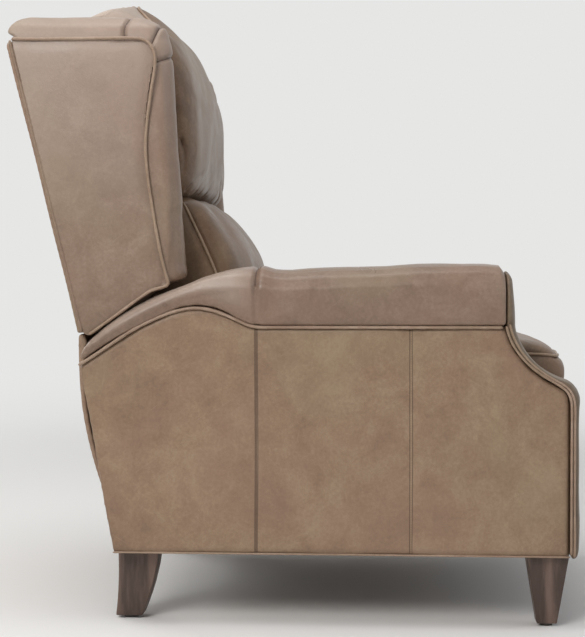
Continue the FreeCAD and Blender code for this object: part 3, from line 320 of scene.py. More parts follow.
def seam(piece, line, kind, depth, width, facing=None, weight=None):
    """Draws a crease or a lapped seam on a skin and presses the hide in along it.
    facing names the side of the skin that takes it, as an axis number and a sign."""
    points, normals = points_of(piece), normals_of(piece)
    line = np.array(line, float)
    if facing:
        axis, sign = facing
        flat, flat_line = points.copy(), line.copy()
        flat[:, axis] = 0.0
        flat_line[:, axis] = 0.0
        gap, along = from_line(flat, flat_line)
        takes = np.clip(normals[:, axis] * sign * 2.5, 0.0, 1.0)
    else:
        gap, along = from_line(points, laid_on(piece, line))
        takes = np.ones(len(points))
    mesh = piece.data
    for label in (kind, "run"):
        if label not in mesh.attributes:
            mesh.attributes.new(label, "FLOAT", "POINT")
    known = np.empty(len(points), np.float32)
    mesh.attributes[kind].data.foreach_get("value", known)
    near = np.clip(1.0 - gap / SEAM_REACH, 0.0, 1.0) * (takes > 0.5)
    if weight is not None:
        near = near * weight(points)
    if kind == "lap":
        runs = np.empty(len(points), np.float32)
        mesh.attributes["run"].data.foreach_get("value", runs)
        runs[near > known] = along[near > known]
        mesh.attributes["run"].data.foreach_set("value", runs)
    mesh.attributes[kind].data.foreach_set("value", np.maximum(near, known).astype(np.float32))
    press = depth * np.exp(-(gap / width) ** 2) * takes
    if weight is not None:
        press = press * weight(points)
    set_points(piece, points - normals * press[:, None])


def undulate(piece, amount, length, facing=None):
    """Slow unevenness of hide pulled over padding."""
    points, normals = points_of(piece), normals_of(piece)
    wave = np.zeros(len(points))
    for number in range(7):
        turn = 2.4 * number + 0.7
        way = np.array([math.cos(turn), math.sin(turn), math.cos(1.7 * turn + 1.0)])
        way = way / np.linalg.norm(way) * (2 * math.pi / length) * (0.7 + 0.17 * number)
        wave += np.sin(points @ way + 1.9 * number) / 7.0 ** 0.5
    if facing:
        wave = wave * np.clip(normals[:, facing[0]] * facing[1] * 2.0, 0.0, 1.0)
    set_points(piece, points + normals * (wave * amount)[:, None])


def piping(name, line, radius, body, leather):
    """A welt: a narrow strip of hide sewn round a cord."""
    count = 10
    vertices, faces = [], []
    line = np.array(line, float)
    ways = np.gradient(line, axis=0)
    ways /= np.linalg.norm(ways, axis=1)[:, None]
    side = np.array([1.0, 0.0, 0.0]) if abs(ways[0][0]) < 0.8 else np.array([0.0, 0.0, 1.0])
    run = 0.0
    for number, (point, way) in enumerate(zip(line, ways)):
        if number:
            run += float(np.linalg.norm(point - line[number - 1]))
        side = side - way * (side @ way)
        side /= np.linalg.norm(side)
        up = np.cross(way, side)
        round_here = radius * (1.0 + 0.05 * math.sin(run / 0.0042) + 0.04 * math.sin(run / 0.0131 + 1.0))
        if number in (0, len(line) - 1):
            round_here *= 0.55
        for corner in range(count):
            turn = 2 * math.pi * corner / count
            vertices.append(point + round_here * (math.cos(turn) * side + math.sin(turn) * up))
    for ring in range(len(line) - 1):
        for corner in range(count):
            beside = (corner + 1) % count
            faces.append((ring * count + corner, ring * count + beside,
                          (ring + 1) * count + beside, (ring + 1) * count + corner))
    last = (len(line) - 1) * count
    faces.append(tuple(range(count))[::-1])
    faces.append(tuple(last + corner for corner in range(count)))
    mesh = bpy.data.meshes.new(name)
    mesh.from_pydata([tuple(v) for v in vertices], [], faces)
    mesh.materials.append(leather)
    mesh.shade_smooth()
    piece = bpy.data.objects.new(name, mesh)
    scene.collection.objects.link(piece)
    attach(piece, body)
    return piece


def on_side(line, x):
    """A line of (y, z) points in millimetres, laid at one x."""
    return [(x, y / 1000.0, z / 1000.0) for y, z in line]


SIDES = (("right", -1.0), ("left", 1.0))
side_hide = hide("side_hide", srgb(121, 96, 77), srgb(143, 118, 95), srgb(162, 140, 115), (0.0, 0.0, 0.0))
welt_hide = hide("welt_hide", srgb(134, 109, 91), srgb(153, 129, 110), srgb(178, 156, 138), (3.0, 1.0, 2.0), 0.38)

ARM_SEAM = [(360, 446), (336, 461), (300, 485), (258, 511), (215, 531), (190, 539), (168, 543), (144, 542),
            (118, 535), (92, 524), (72, 515), (52, 511), (20, 511), (-80, 511), (-203, 511), (-300, 511), (-356, 511)]
SCOOP = [(-362, 511), (-365, 500), (-371, 484), (-382, 466), (-400, 446), (-420, 430), (-440, 418), (-456, 408),
         (-465, 399), (-470, 386), (-471, 370), (-471, 330), (-471, 250), (-471, 180), (-471, 128)]
for label, side in SIDES:
    outer = (0, side)
    cover = skin_of("side_cover_" + label, "side_panel_" + label, 0.0048, 6, 2, side_hide)
    undulate(cover, 0.0011, 0.19, outer)
    for y in (58, -203):
        seam(cover, curved(on_side([(y, 116), (y - 1, 300), (y, 516)], 0.39 * side)), "lap", 0.0009, 0.011, outer)
    seam(cover, curved(on_side(ARM_SEAM, 0.39 * side)), "fold", 0.0032, 0.007, outer)
    seam(cover, curved(on_side(SCOOP, 0.39 * side)), "fold", 0.0030, 0.007, outer)
    seam(cover, curved(on_side([(302, 126), (100, 126), (-200, 126), (-468, 126)], 0.39 * side)),
         "fold", 0.0012, 0.004, outer)
    seam_welt = [(y, z - 2.5) for y, z in ARM_SEAM]
    piping("arm_welt_" + label, curved(on_side(seam_welt, 0.3925 * side), 0.0035), 0.0030, "base", welt_hide)
    piping("scoop_welt_" + label, curved(on_side(SCOOP, 0.3915 * side), 0.0035), 0.0023, "base", welt_hide)
    hem = [(303, 124.5), (100, 124.5), (-200, 124.5), (-469, 124.5)]
    piping("hem_welt_" + label, curved(on_side(hem, 0.3895 * side), 0.004), 0.0016, "base", welt_hide)


# Inner arm panels, which face the seat cushion: board with thin padding, covered with
# the same hide and stapled to the arm frames.

for label, side in SIDES:
    cover = skin_of("inner_cover_" + label, "inner_arm_panel_" + label, 0.0065, 6, 1, side_hide)
    undulate(cover, 0.0006, 0.21, (0, -side))


# Padded rolls along the tops of the arms: foam wrapped in one piece of hide that is
# pleated where it turns down at the rear, and pulled down to the welt.

def blow_up(piece, held, cap, low, high, pressure=4.0, steps=20):
    """Fills a skin with air by cloth simulation, held along its seams.
    cap is how far a point may move, and low and high are the room that it has."""
    start = points_of(piece)
    fixed = np.zeros(len(start), bool)
    for line, reach in held:
        fixed |= from_line(start, np.array(line, float))[0] < reach
    group = piece.vertex_groups.new(name="held")
    group.add([int(number) for number in np.nonzero(fixed)[0]], 1.0, "REPLACE")
    cloth = piece.modifiers.new("filling", "CLOTH")
    cloth.settings.quality = 4
    cloth.settings.mass = 0.35
    cloth.settings.tension_stiffness = 18
    cloth.settings.compression_stiffness = 18
    cloth.settings.shear_stiffness = 8
    cloth.settings.bending_stiffness = 1.5
    cloth.settings.use_pressure = True
    cloth.settings.uniform_pressure_force = pressure
    cloth.settings.vertex_group_mass = "held"
    cloth.settings.effector_weights.gravity = 0.0
    cloth.collision_settings.use_collision = False
    cloth.point_cache.frame_start = 1
    cloth.point_cache.frame_end = steps
    for number in range(1, steps + 1):
        scene.frame_set(number)
    made = piece.evaluated_get(bpy.context.evaluated_depsgraph_get())
    flat = np.empty(len(start) * 3, np.float32)
    made.data.vertices.foreach_get("co", flat)
    move = flat.reshape(-1, 3).astype(float) - start
    piece.modifiers.clear()
    piece.vertex_groups.clear()
    scene.frame_set(1)
    outward = normals_of(piece)
    sunk = np.minimum((move * outward).sum(axis=1), 0.0)
    move -= outward * (0.8 * sunk)[:, None]
    length = np.maximum(np.linalg.norm(move, axis=1), 1e-9)
    move *= (cap * np.tanh(length / cap) / length)[:, None]
    set_points(piece, np.clip(start + move, low, high))


def finer(piece):
    """One subdivision of a skin."""
    piece.modifiers.new("finer", "SUBSURF").levels = 1
    settle(piece)


def rise(values, start, over):
    """0 up to start, then evenly up to 1 over that length. A negative length goes the other way."""
    return np.clip((values - start) / over, 0.0, 1.0)


def paint_sheen(piece, amount):
    """Marks where the hide takes a painted sheen, a pale tint that stands in for highlights, from 0 to 1."""
    known = piece.data.attributes.new("painted_sheen", "FLOAT", "POINT")
    share = np.clip(amount(points_of(piece), normals_of(piece)), 0.0, 1.0)
    known.data.foreach_set("value", share.astype(np.float32))


def refine(piece, lines, reach=0.011):
    """Splits the faces of a skin along lines, so that narrow creases come out crisp."""
    points = points_of(piece)
    near = np.zeros(len(points), bool)
    for line in lines:
        near |= from_line(points, laid_on(piece, line))[0] < reach
    edit = bmesh.new()
    edit.from_mesh(piece.data)
    edges = [edge for edge in edit.edges if near[edge.verts[0].index] and near[edge.verts[1].index]]
    bmesh.ops.subdivide_edges(edit, edges=edges, cuts=1, use_grid_fill=True)
    edit.to_mesh(piece.data)
    edit.free()
    piece.data.shade_smooth()


def mirrored(piece, name, node):
    """The other arm's or wing's piece."""
    mesh = piece.data.copy()
    other = bpy.data.objects.new(name, mesh)
    scene.collection.objects.link(other)
    points = points_of(piece)
    points[:, 0] *= -1.0
    set_points(other, points)
    mesh.flip_normals()
    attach(other, frame["nodes"][node]["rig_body"])
    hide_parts(node)
    return other


roll_hide = hide("roll_hide", srgb(116, 94, 79), srgb(133, 111, 95), srgb(152, 131, 114), (1.3, 0.4, 0.2), 0.34)
roll = skin_of("roll_cover_right", "arm_roll_right", 0.0050, 8, 1, roll_hide)
low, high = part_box("arm_roll_right")
front_rim = [(-0.392, -0.360, 0.513), (-0.396, -0.360, 0.560), (-0.390, -0.360, 0.592), (-0.370, -0.359, 0.601),
             (-0.330, -0.359, 0.603), (-0.296, -0.359, 0.601), (-0.275, -0.360, 0.586), (-0.269, -0.360, 0.513)]
roll_held = [(curved(on_side(ARM_SEAM, -0.390)), 0.009), (curved(on_side(ARM_SEAM, -0.270)), 0.009),
             (curved(front_rim), 0.014)]
blow_up(roll, roll_held, 0.003, (low[0] - 0.001, low[1], low[2] - 0.002), (high[0], high[1], high[2] + 0.001))
finer(roll)
relax(roll, 5)
# places along the arm with the level of the solid's top, and how far the padding stands over it
ROLL_TOP = [(360, 460), (350, 470), (330, 489), (310, 503), (290, 516), (270, 529), (250, 541), (230, 552),
            (210, 562), (190, 572), (170, 582), (150, 591), (120, 600), (60, 607), (-361, 611)]
SWELL = [(360, 3), (345, 8), (330, 10), (310, 12), (290, 13), (270, 13), (250, 12), (230, 10), (210, 7), (190, 4),
         (165, 2), (64, 4), (46, 3), (28, -4), (15, -6), (0, -7), (-31, -6), (-108, -6), (-160, -5), (-185, -3),
         (-215, -1), (-250, 0), (-290, 1), (-315, 3), (-340, 6), (-352, 9), (-361, 10)]
ROLL_FRONT = -0.3605
SHOULDER_RISE = 0.007


def level_at(line, y):
    """A line's level in metres at each y."""
    ways = np.array(line[::-1], float) / 1000.0
    return np.interp(y, ways[:, 0], ways[:, 1])


points = points_of(roll)
seam_level = level_at(ARM_SEAM, points[:, 1])
share = np.clip((points[:, 2] - seam_level) / (level_at(ROLL_TOP, points[:, 1]) - seam_level), 0.0, 1.0)
points[:, 2] += level_at(SWELL, points[:, 1]) * share ** 1.5 * rise(points[:, 1], ROLL_FRONT, 0.008)
outward = normals_of(roll)
shoulder = np.clip(-outward[:, 0], 0.0, 1.0) * np.clip(outward[:, 2], 0.0, 1.0) * 2.0
shoulder *= rise(points[:, 1], 0.07, 0.08) * rise(points[:, 1], 0.365, -0.05)
points += outward * (SHOULDER_RISE * shoulder)[:, None]
set_points(roll, points)
PLEAT = [(-0.272, 0.058, 0.520), (-0.270, 0.058, 0.580), (-0.300, 0.058, 0.607), (-0.335, 0.058, 0.6120),
         (-0.372, 0.058, 0.605), (-0.392, 0.0585, 0.585), (-0.398, 0.059, 0.560), (-0.397, 0.058, 0.530),
         (-0.394, 0.056, 0.512)]
# painted sheen on the roll's upper, upward-facing hide, standing in for the lamps' highlight
paint_sheen(roll, lambda p, n: 0.95 * rise(p[:, 2] - level_at(ARM_SEAM, p[:, 1]), 0.008, 0.03)
     * rise(p[:, 1], 0.05, 0.05) * rise(n[:, 2], -0.6, 1.0))
refine(roll, [curved(PLEAT)])
seam(roll, curved(PLEAT), "fold", 0.0044, 0.0048, weight=lambda p: 0.35 + 0.65 * rise(p[:, 2], 0.512, 0.07))
roll_left = mirrored(roll, "roll_cover_left", "arm_roll_left")


# Padded facings on the fronts of the arms, crowned over their width and sewn to the
# side panels round the scoop.

facing_hide = hide("facing_hide", srgb(85, 71, 57), srgb(103, 87, 71), srgb(125, 108, 90), (2.7, 1.9, 0.6), 0.42)
FACING_RIM = [(-368, 514), (-371, 502), (-377, 487), (-387, 469), (-404, 450), (-424, 434), (-443, 423),
              (-460, 412), (-470, 402), (-476, 387), (-477, 370), (-477, 330), (-477, 250), (-477, 180), (-477, 124)]
for label, side in SIDES:
    facing = skin_of("facing_cover_" + label, "arm_facing_" + label, 0.0045, 8, 3, facing_hide)
    undulate(facing, 0.0006, 0.11)
    rim = curved(on_side(FACING_RIM, 0.3925 * side), 0.0035)
    seam(facing, rim, "fold", 0.0016, 0.0045)
    piping("facing_welt_" + label, laid_on(facing, rim, 0.0012), 0.0021, "base", welt_hide)


# Tapered legs of ash, turned slightly outwards, stained grey-brown and oiled. Their
# edges are eased with a plane.

def eased(name, node, radius, finish, slot):
    """A copy of a hard CAD piece with its sharp edges eased."""
    piece = bpy.data.objects.new(name, frame["nodes"][node].data.copy())
    scene.collection.objects.link(piece)
    edit = bmesh.new()
    edit.from_mesh(piece.data)
    bmesh.ops.remove_doubles(edit, verts=edit.verts, dist=1e-5)
    bmesh.ops.dissolve_limit(edit, angle_limit=math.radians(1.0), verts=edit.verts, edges=edit.edges)
    edit.to_mesh(piece.data)
    edit.free()
    piece.data.materials.clear()
    piece.data.materials.append(finish)
    bevel = piece.modifiers.new("eased", "BEVEL")
    bevel.width = radius
    bevel.segments = 3
    bevel.limit_method = "ANGLE"
    bevel.angle_limit = math.radians(40)
    settle(piece)
    piece.data.set_sharp_from_angle(angle=math.radians(40))
    piece.data.shade_smooth()
    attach(piece, frame["nodes"][node]["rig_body"])
    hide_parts(node)
    return piece


def timber(name, deep, pale, stretch, roughness):
    """Wood with long grain, growth bands and open pores. stretch squeezes the grain along it."""
    wood = bpy.data.materials.new(name)
    wood.use_nodes = True
    tree = wood.node_tree
    shader = tree.nodes["Principled BSDF"]
    where = add_node(tree, "TexCoord").outputs["Object"]
    along = add_node(tree, "Mapping", {"Vector": where, "Scale": stretch}).outputs["Vector"]
    bands = add_node(tree, "TexWave", {"Vector": along, "Scale": 9.0, "Distortion": 7.0, "Detail": 3.0,
                                       "Detail Scale": 2.2}, wave_type="BANDS", bands_direction="DIAGONAL")
    grain = speckle(tree, along, 150.0, 5.0, 0.7)
    streak = speckle(tree, along, 42.0, 3.0, 0.6)
    dye = sums(tree, "MULTIPLY_ADD", bands.outputs["Fac"], 0.3, sums(tree, "MULTIPLY", grain, 0.38))
    dye = sums(tree, "MULTIPLY_ADD", streak, 0.4, dye)
    ramp = add_node(tree, "ValToRGB", {"Fac": dye})
    ramp.color_ramp.elements[0].position = 0.36
    ramp.color_ramp.elements[0].color = deep
    ramp.color_ramp.elements[1].position = 0.72
    ramp.color_ramp.elements[1].color = pale
    tree.links.new(ramp.outputs["Color"], shader.inputs["Base Color"])
    tree.links.new(spread(tree, grain, 0.3, 0.7, roughness + 0.1, roughness - 0.06), shader.inputs["Roughness"])
    bump = add_node(tree, "Bump", {"Height": grain, "Strength": 0.35, "Distance": 0.0005})
    tree.links.new(bump.outputs["Normal"], shader.inputs["Normal"])
    return wood


leg_finish = timber("leg_finish", srgb(70, 54, 46), srgb(116, 95, 84), (1.0, 1.0, 0.09), 0.48)
for label, side in SIDES:
    for place in ("front", "rear"):
        eased(place + "_leg_shown_" + label, place + "_leg_" + label, 0.0016, leg_finish, "leg_wood")


# Glides under the legs: moulded nylon discs, each nailed into the leg's foot, with a
# face scuffed by the floor.

def plain_finish(name, colour, other, scale, roughness, metallic=0.0, bump_height=0.0002):
    """A hard finish with uneven tone, scuffs and fine relief."""
    finish = bpy.data.materials.new(name)
    finish.use_nodes = True
    tree = finish.node_tree
    shader = tree.nodes["Principled BSDF"]
    where = add_node(tree, "TexCoord").outputs["Object"]
    stains = speckle(tree, where, scale, 5.0, 0.6, 0.4)
    fine = speckle(tree, where, scale * 9.0, 3.0, 0.6)
    tone = blended(tree, spread(tree, stains, 0.35, 0.65), colour, other)
    tree.links.new(tone, shader.inputs["Base Color"])
    tree.links.new(spread(tree, fine, 0.3, 0.7, roughness - 0.08, roughness + 0.1), shader.inputs["Roughness"])
    shader.inputs["Metallic"].default_value = metallic
    bump = add_node(tree, "Bump", {"Height": fine, "Strength": 0.5, "Distance": bump_height})
    tree.links.new(bump.outputs["Normal"], shader.inputs["Normal"])
    return finish


def finish_nodes(finish, *names):
    """Gives CAD nodes that stay in sight their finish."""
    for name in names:
        shown = frame["nodes"][name]
        shown.data.materials.clear()
        shown.data.materials.append(finish)


def both(*names):
    return [name + "_" + label for name in names for label, side in SIDES]


glide_nylon = plain_finish("glide_nylon", srgb(58, 54, 50), srgb(78, 72, 66), 160.0, 0.55)
finish_nodes(glide_nylon, *both("front_glide", "rear_glide"))


# Frames of the arms, cross rails, seat frame and back frame, of planed beech or birch
# plywood, glued and screwed. Those that show from behind are covered with hide.

frame_timber = timber("frame_timber", srgb(172, 140, 102), srgb(208, 180, 142), (0.12, 1.0, 1.0), 0.6)
frame_timber_up = timber("frame_timber_up", srgb(172, 140, 102), srgb(208, 180, 142), (1.0, 1.0, 0.12), 0.6)
finish_nodes(frame_timber, "front_cross_rail", "seat_rear_rail", "back_bottom_rail", "back_middle_rail",
             "back_top_rail")
finish_nodes(frame_timber_up, *both("back_post"))
finish_nodes(side_hide, *both("arm_frame"), "rear_cross_rail")
side_rail_timber = timber("side_rail_timber", srgb(172, 140, 102), srgb(208, 180, 142), (1.0, 0.12, 1.0), 0.6)
finish_nodes(side_rail_timber, *both("seat_side_rail"))


# Mechanism of pressed steel plates and bars on shoulder rivets, painted satin black,
# with the paint rubbed and dusty in places.

black_steel = plain_finish("black_steel", srgb(44, 44, 45), srgb(68, 67, 65), 45.0, 0.42, 0.0, 0.0003)
finish_nodes(black_steel, *both("base_bracket", "seat_plate", "footrest_arm", "footrest_link", "drive_link",
                                 "footrest_bracket", "back_bracket"), "footrest_torque_tube")


# Zigzag seat springs of hard-drawn wire, bent cold and clipped between the front and
# rear rails of the seat.

spring_steel = plain_finish("spring_steel", srgb(92, 90, 88), srgb(64, 62, 60), 120.0, 0.34, 1.0, 0.0002)
finish_nodes(spring_steel, "seat_springs")


# Seat deck of black spunbonded cloth, stapled over the springs, and the elastic webbing
# of the back, stretched across its posts.

def woven(name, colour, other, threads, bump_height):
    """Cloth with crossing threads."""
    cloth = bpy.data.materials.new(name)
    cloth.use_nodes = True
    tree = cloth.node_tree
    shader = tree.nodes["Principled BSDF"]
    where = add_node(tree, "TexCoord").outputs["Object"]
    values = {"Vector": where, "Scale": threads, "Distortion": 0.6, "Detail": 1.0}
    across = add_node(tree, "TexWave", values, bands_direction="X").outputs["Fac"]
    up = add_node(tree, "TexWave", values, bands_direction="Z").outputs["Fac"]
    along = add_node(tree, "TexWave", values, bands_direction="Y").outputs["Fac"]
    weave = sums(tree, "ADD", sums(tree, "ADD", across, up), along)
    fuzz = speckle(tree, where, 300.0, 4.0)
    share = sums(tree, "MULTIPLY_ADD", weave, 0.25, sums(tree, "MULTIPLY", fuzz, 0.4))
    tree.links.new(blended(tree, share, colour, other), shader.inputs["Base Color"])
    shader.inputs["Roughness"].default_value = 0.88
    bump = add_node(tree, "Bump", {"Height": weave, "Strength": 0.6, "Distance": bump_height})
    tree.links.new(bump.outputs["Normal"], shader.inputs["Normal"])
    return cloth


deck_weave = woven("deck_weave", srgb(26, 25, 24), srgb(54, 52, 50), 260.0, 0.0004)
web_weave = woven("web_weave", srgb(44, 40, 36), srgb(92, 84, 74), 180.0, 0.0006)
finish_nodes(deck_weave, "seat_deck")
finish_nodes(web_weave, "back_webbing")


# Apron: black cloth stapled to the seat's rear rail and the back's bottom rail, which
# covers the gap between seat and back at rest.

apron_line = curved([(0.0, 0.1520, 0.3600), (0.0, 0.1620, 0.3525), (0.0, 0.1900, 0.3480), (0.0, 0.2250, 0.3560),
                     (0.0, 0.2550, 0.3760), (0.0, 0.2750, 0.4020)], 0.005)
APRON_HALF, APRON_THICK = 0.208, 0.0008
columns = 40
ways = np.gradient(apron_line, axis=0)
ups = np.stack([ways[:, 0], -ways[:, 2], ways[:, 1]], axis=1)
ups /= np.linalg.norm(ups, axis=1)[:, None]
vertices = []
for layer in (1.0, -1.0):
    for point, up in zip(apron_line, ups):
        for column in range(columns + 1):
            x = APRON_HALF * (2.0 * column / columns - 1.0)
            pucker = 0.0012 * math.sin(x * 95.0) * math.sin(x * 31.0 + 0.6)
            place = point + up * (0.5 * APRON_THICK * layer + pucker)
            vertices.append((x, place[1], place[2]))
rows, wide = len(apron_line), columns + 1
faces = []
for row in range(rows - 1):
    for column in range(columns):
        a = row * wide + column
        b = a + rows * wide
        faces.append((a, a + wide, a + wide + 1, a + 1))
        faces.append((b, b + 1, b + wide + 1, b + wide))
around = [column for column in range(wide)] + [row * wide + columns for row in range(1, rows)]
around += [(rows - 1) * wide + column for column in range(columns - 1, -1, -1)]
around += [row * wide for row in range(rows - 2, 0, -1)]
for first, second in zip(around, around[1:] + around[:1]):
    faces.append((first, second, second + rows * wide, first + rows * wide))
mesh = bpy.data.meshes.new("seat_back_apron")
mesh.from_pydata(vertices, [], faces)
mesh.materials.append(deck_weave)
mesh.shade_smooth()
apron = bpy.data.objects.new("seat_back_apron", mesh)
scene.collection.objects.link(apron)
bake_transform(apron)


# Seat cushion: a foam block wrapped in fibre under a hide cover, boxed at its sides and
# front, with a welt round the edge. It stays on the seat deck, and the front rail below
# it and the footrest's board are covered with the same hide.

def in_metres(line):
    """Points that are given in millimetres."""
    return [(x / 1000.0, y / 1000.0, z / 1000.0) for x, y, z in line]


def arch(half):
    """A smooth line through points in millimetres, of which the last is in the middle, and on
    through their mirror images."""
    return curved(in_metres(half + [(-x, y, z) for x, y, z in half[-2::-1]]))


seat_hide = hide("seat_hide", srgb(102, 83, 67), srgb(124, 104, 86), srgb(148, 128, 108), (2.1, 0.8, 1.7), 0.4)
finish_nodes(seat_hide, "seat_front_rail", "footrest_board")
cushion = skin_of("seat_cushion_cover", "seat_cushion", 0.0060, 8, 2, seat_hide)
low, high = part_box("seat_cushion")
rims = []
for side in (-1.0, 1.0):
    for z in (0.392, 0.478):
        rims.append(([(0.258 * side, -0.44, z - 0.012), (0.258 * side, 0.0, z), (0.258 * side, 0.19, z)], 0.007))
SEAT_EDGE = [(-261, -300, 460), (-261, -400, 459), (-259, -452, 458), (-245, -468, 459), (-120, -476, 462),
             (0, -478, 463)]
front_welt = arch(SEAT_EDGE)
blow_up(cushion, rims + [(front_welt, 0.008)], 0.014, (low[0] - 0.002, low[1] - 0.006, low[2]),
        (high[0] + 0.002, high[1], high[2] + 0.012))
finer(cushion)
undulate(cushion, 0.0012, 0.16)
welt_line = laid_on(cushion, front_welt, 0.0002)
seam(cushion, front_welt, "fold", 0.0030, 0.006)
piping("seat_front_welt", welt_line, 0.0028, "seat", welt_hide)


# Back: frame of posts and rails behind the two pillows, closed at the rear by the
# outside back panel, a board with thin padding and hide, welted at its edges.

back_hide = hide("back_hide", srgb(122, 99, 81), srgb(143, 119, 99), srgb(162, 139, 118), (0.4, 2.6, 1.1))
outside = skin_of("outside_back_cover", "outside_back_panel", 0.0034, 8, 1, back_hide)
undulate(outside, 0.0007, 0.2, (1, 1.0))
skirt = skin_of("back_skirt_cover", "back_skirt", 0.0034, 8, 1, back_hide)
undulate(skirt, 0.0008, 0.17, (1, 1.0))


# Wings: a board panel on the outer face, and a padded body with a roll down its front
# and over its top, pleated at the corner and welted round the panel.

wing_hide = hide("wing_hide", srgb(119, 97, 81), srgb(136, 114, 97), srgb(155, 134, 117), (1.9, 1.2, 0.3), 0.38)
WING_EDGE = [(475, 999), (440, 998), (380, 998), (320, 998), (268, 998), (249, 995), (238, 987), (231, 972),
             (230, 950), (236, 910), (243, 860), (246, 812), (242, 760), (233, 700), (222, 639), (213, 602),
             (208, 582)]
WING_FOOT = [(208, 580), (225, 575), (241, 568), (266, 551), (292, 532), (320, 512), (344, 495)]
wing = skin_of("wing_cover_right", "wing_pad_right", 0.0055, 8, 3, wing_hide)
low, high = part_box("wing_pad_right")
edge = curved(on_side(WING_EDGE, -0.3795))
foot = curved(on_side(WING_FOOT, -0.3795))
blow_up(wing, [(edge, 0.010), (foot, 0.010)], 0.009, (low[0] + 0.0005, low[1] - 0.004, low[2]),
        (high[0] + 0.001, high[1], high[2] + 0.003))
finer(wing)
PLEATS = [
    [(-0.380, 0.283, 0.996), (-0.374, 0.284, 1.020), (-0.350, 0.279, 1.040), (-0.320, 0.272, 1.044),
     (-0.285, 0.268, 1.040)],
    [(-0.381, 0.240, 0.982), (-0.372, 0.229, 1.003), (-0.350, 0.221, 1.026), (-0.320, 0.222, 1.034)],
    [(-0.381, 0.236, 0.954), (-0.366, 0.222, 0.962), (-0.345, 0.205, 0.970), (-0.320, 0.200, 0.972)],
]
# the rear end of the top roll stands out and up, and the front's lower end draws back
TOP_ROLL_BACK, TOP_ROLL_UP, FOOT_BACK = 0.013, 0.004, 0.013
points = points_of(wing)
behind = rise(points[:, 2], 1.004, 0.008) * rise(points[:, 1], 0.400, 0.06)
points[:, 1] += TOP_ROLL_BACK * behind
points[:, 2] += TOP_ROLL_UP * behind * rise(points[:, 2], 1.015, 0.015)
low_front = rise(points[:, 2], 0.735, -0.12) ** 1.3
points[:, 1] += FOOT_BACK * low_front * rise(points[:, 1], 0.222, -0.030)
set_points(wing, points)
refine(wing, [curved(pleat) for pleat in PLEATS])
for pleat in PLEATS:
    seam(wing, curved(pleat), "fold", 0.0036, 0.0042)
# painted sheen, paler towards the top of the wing and on its upward faces
paint_sheen(wing, lambda p, n: 0.5 * rise(p[:, 2], 0.80, 0.22) + 0.2 * np.clip(n[:, 2], 0.0, 1.0))
wing_left = mirrored(wing, "wing_cover_left", "wing_pad_left")
for label, side in SIDES:
    panel = skin_of("wing_panel_cover_" + label, "wing_panel_" + label, 0.0024, 10, 1, wing_hide)
    undulate(panel, 0.0009, 0.18, (0, side))
    for line in (WING_EDGE, WING_FOOT):
        seam(panel, curved(on_side(line, 0.384 * side)), "fold", 0.0030, 0.013, (0, side))
    # painted sheen, paler towards the top of the wing panel
    paint_sheen(panel, lambda p, n: 0.62 * rise(p[:, 2], 0.62, 0.38) ** 1.3)
    border = WING_EDGE + [(215, 577), (228, 573)] + WING_FOOT[2:]
    piping("wing_welt_" + label, curved(on_side(border, 0.3835 * side), 0.0035), 0.0028, "back", welt_hide)
    rear_edge = [(356.5, 499), (381.2, 600), (418.3, 750), (455.4, 900), (479.2, 996)]
    piping("rear_welt_" + label, curved(on_side(rear_edge, 0.3828 * side), 0.004), 0.0030, "back", wing_hide)


# Lumbar pillow: a fibre-filled hide cover with a welt sewn down each side of its front,
# pulled against the webbing and stapled to the back's frame.

def frontal(p, n, edge):
    """How far a pillow's skin faces the sitter, between its sides."""
    return np.clip(-n[:, 1], 0.0, 1.0) ** 4 * rise(np.abs(p[:, 0]), 0.245, -edge)


pillow_hide = hide("pillow_hide", srgb(84, 61, 42), srgb(104, 79, 58), srgb(131, 106, 83), (0.9, 2.2, 2.9), 0.42)
lumbar = skin_of("lumbar_cover", "lumbar_pillow", 0.0060, 8, 4, pillow_hide)
low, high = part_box("lumbar_pillow")
side_welts = []
for side in (-1.0, 1.0):
    side_welts.append(curved([(0.256 * side, 0.130, 0.560), (0.261 * side, 0.138, 0.597),
                              (0.262 * side, 0.167, 0.663), (0.262 * side, 0.183, 0.697),
                              (0.258 * side, 0.194, 0.722), (0.254 * side, 0.200, 0.734)]))
blow_up(lumbar, [(line, 0.008) for line in side_welts], 0.014, (low[0] - 0.002, low[1] - 0.004, low[2]),
        (high[0] + 0.002, high[1], high[2] + 0.002))
finer(lumbar)
undulate(lumbar, 0.0016, 0.15)
refine(lumbar, side_welts)
# painted sheen on the pillow's front, standing in for the front lamp's reflection
paint_sheen(lumbar, lambda p, n: 0.52 * frontal(p, n, 0.06))
for line, (label, side) in zip(side_welts, SIDES):
    seam(lumbar, line, "fold", 0.0035, 0.007)
    piping("lumbar_welt_" + label, laid_on(lumbar, line, 0.0012)[::2], 0.0026, "back", welt_hide)


# Headrest pillow: a fibre-filled hide cover, gathered along the foot of its front, and
# sewn to the crest along a welt.

head = skin_of("headrest_cover", "headrest_pillow", 0.0060, 8, 4, pillow_hide)
low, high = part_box("headrest_pillow")
CREST_EDGE = [(250, 353, 1050), (235, 333, 1071), (200, 319, 1086), (150, 308, 1099), (80, 303, 1104),
              (0, 301, 1107)]
crest_line = arch(CREST_EDGE)
blow_up(head, [(crest_line, 0.022)], 0.003, (low[0] - 0.002, low[1] - 0.001, low[2]),
        (high[0] + 0.002, high[1], high[2] + 0.001))
finer(head)
undulate(head, 0.0016, 0.15)
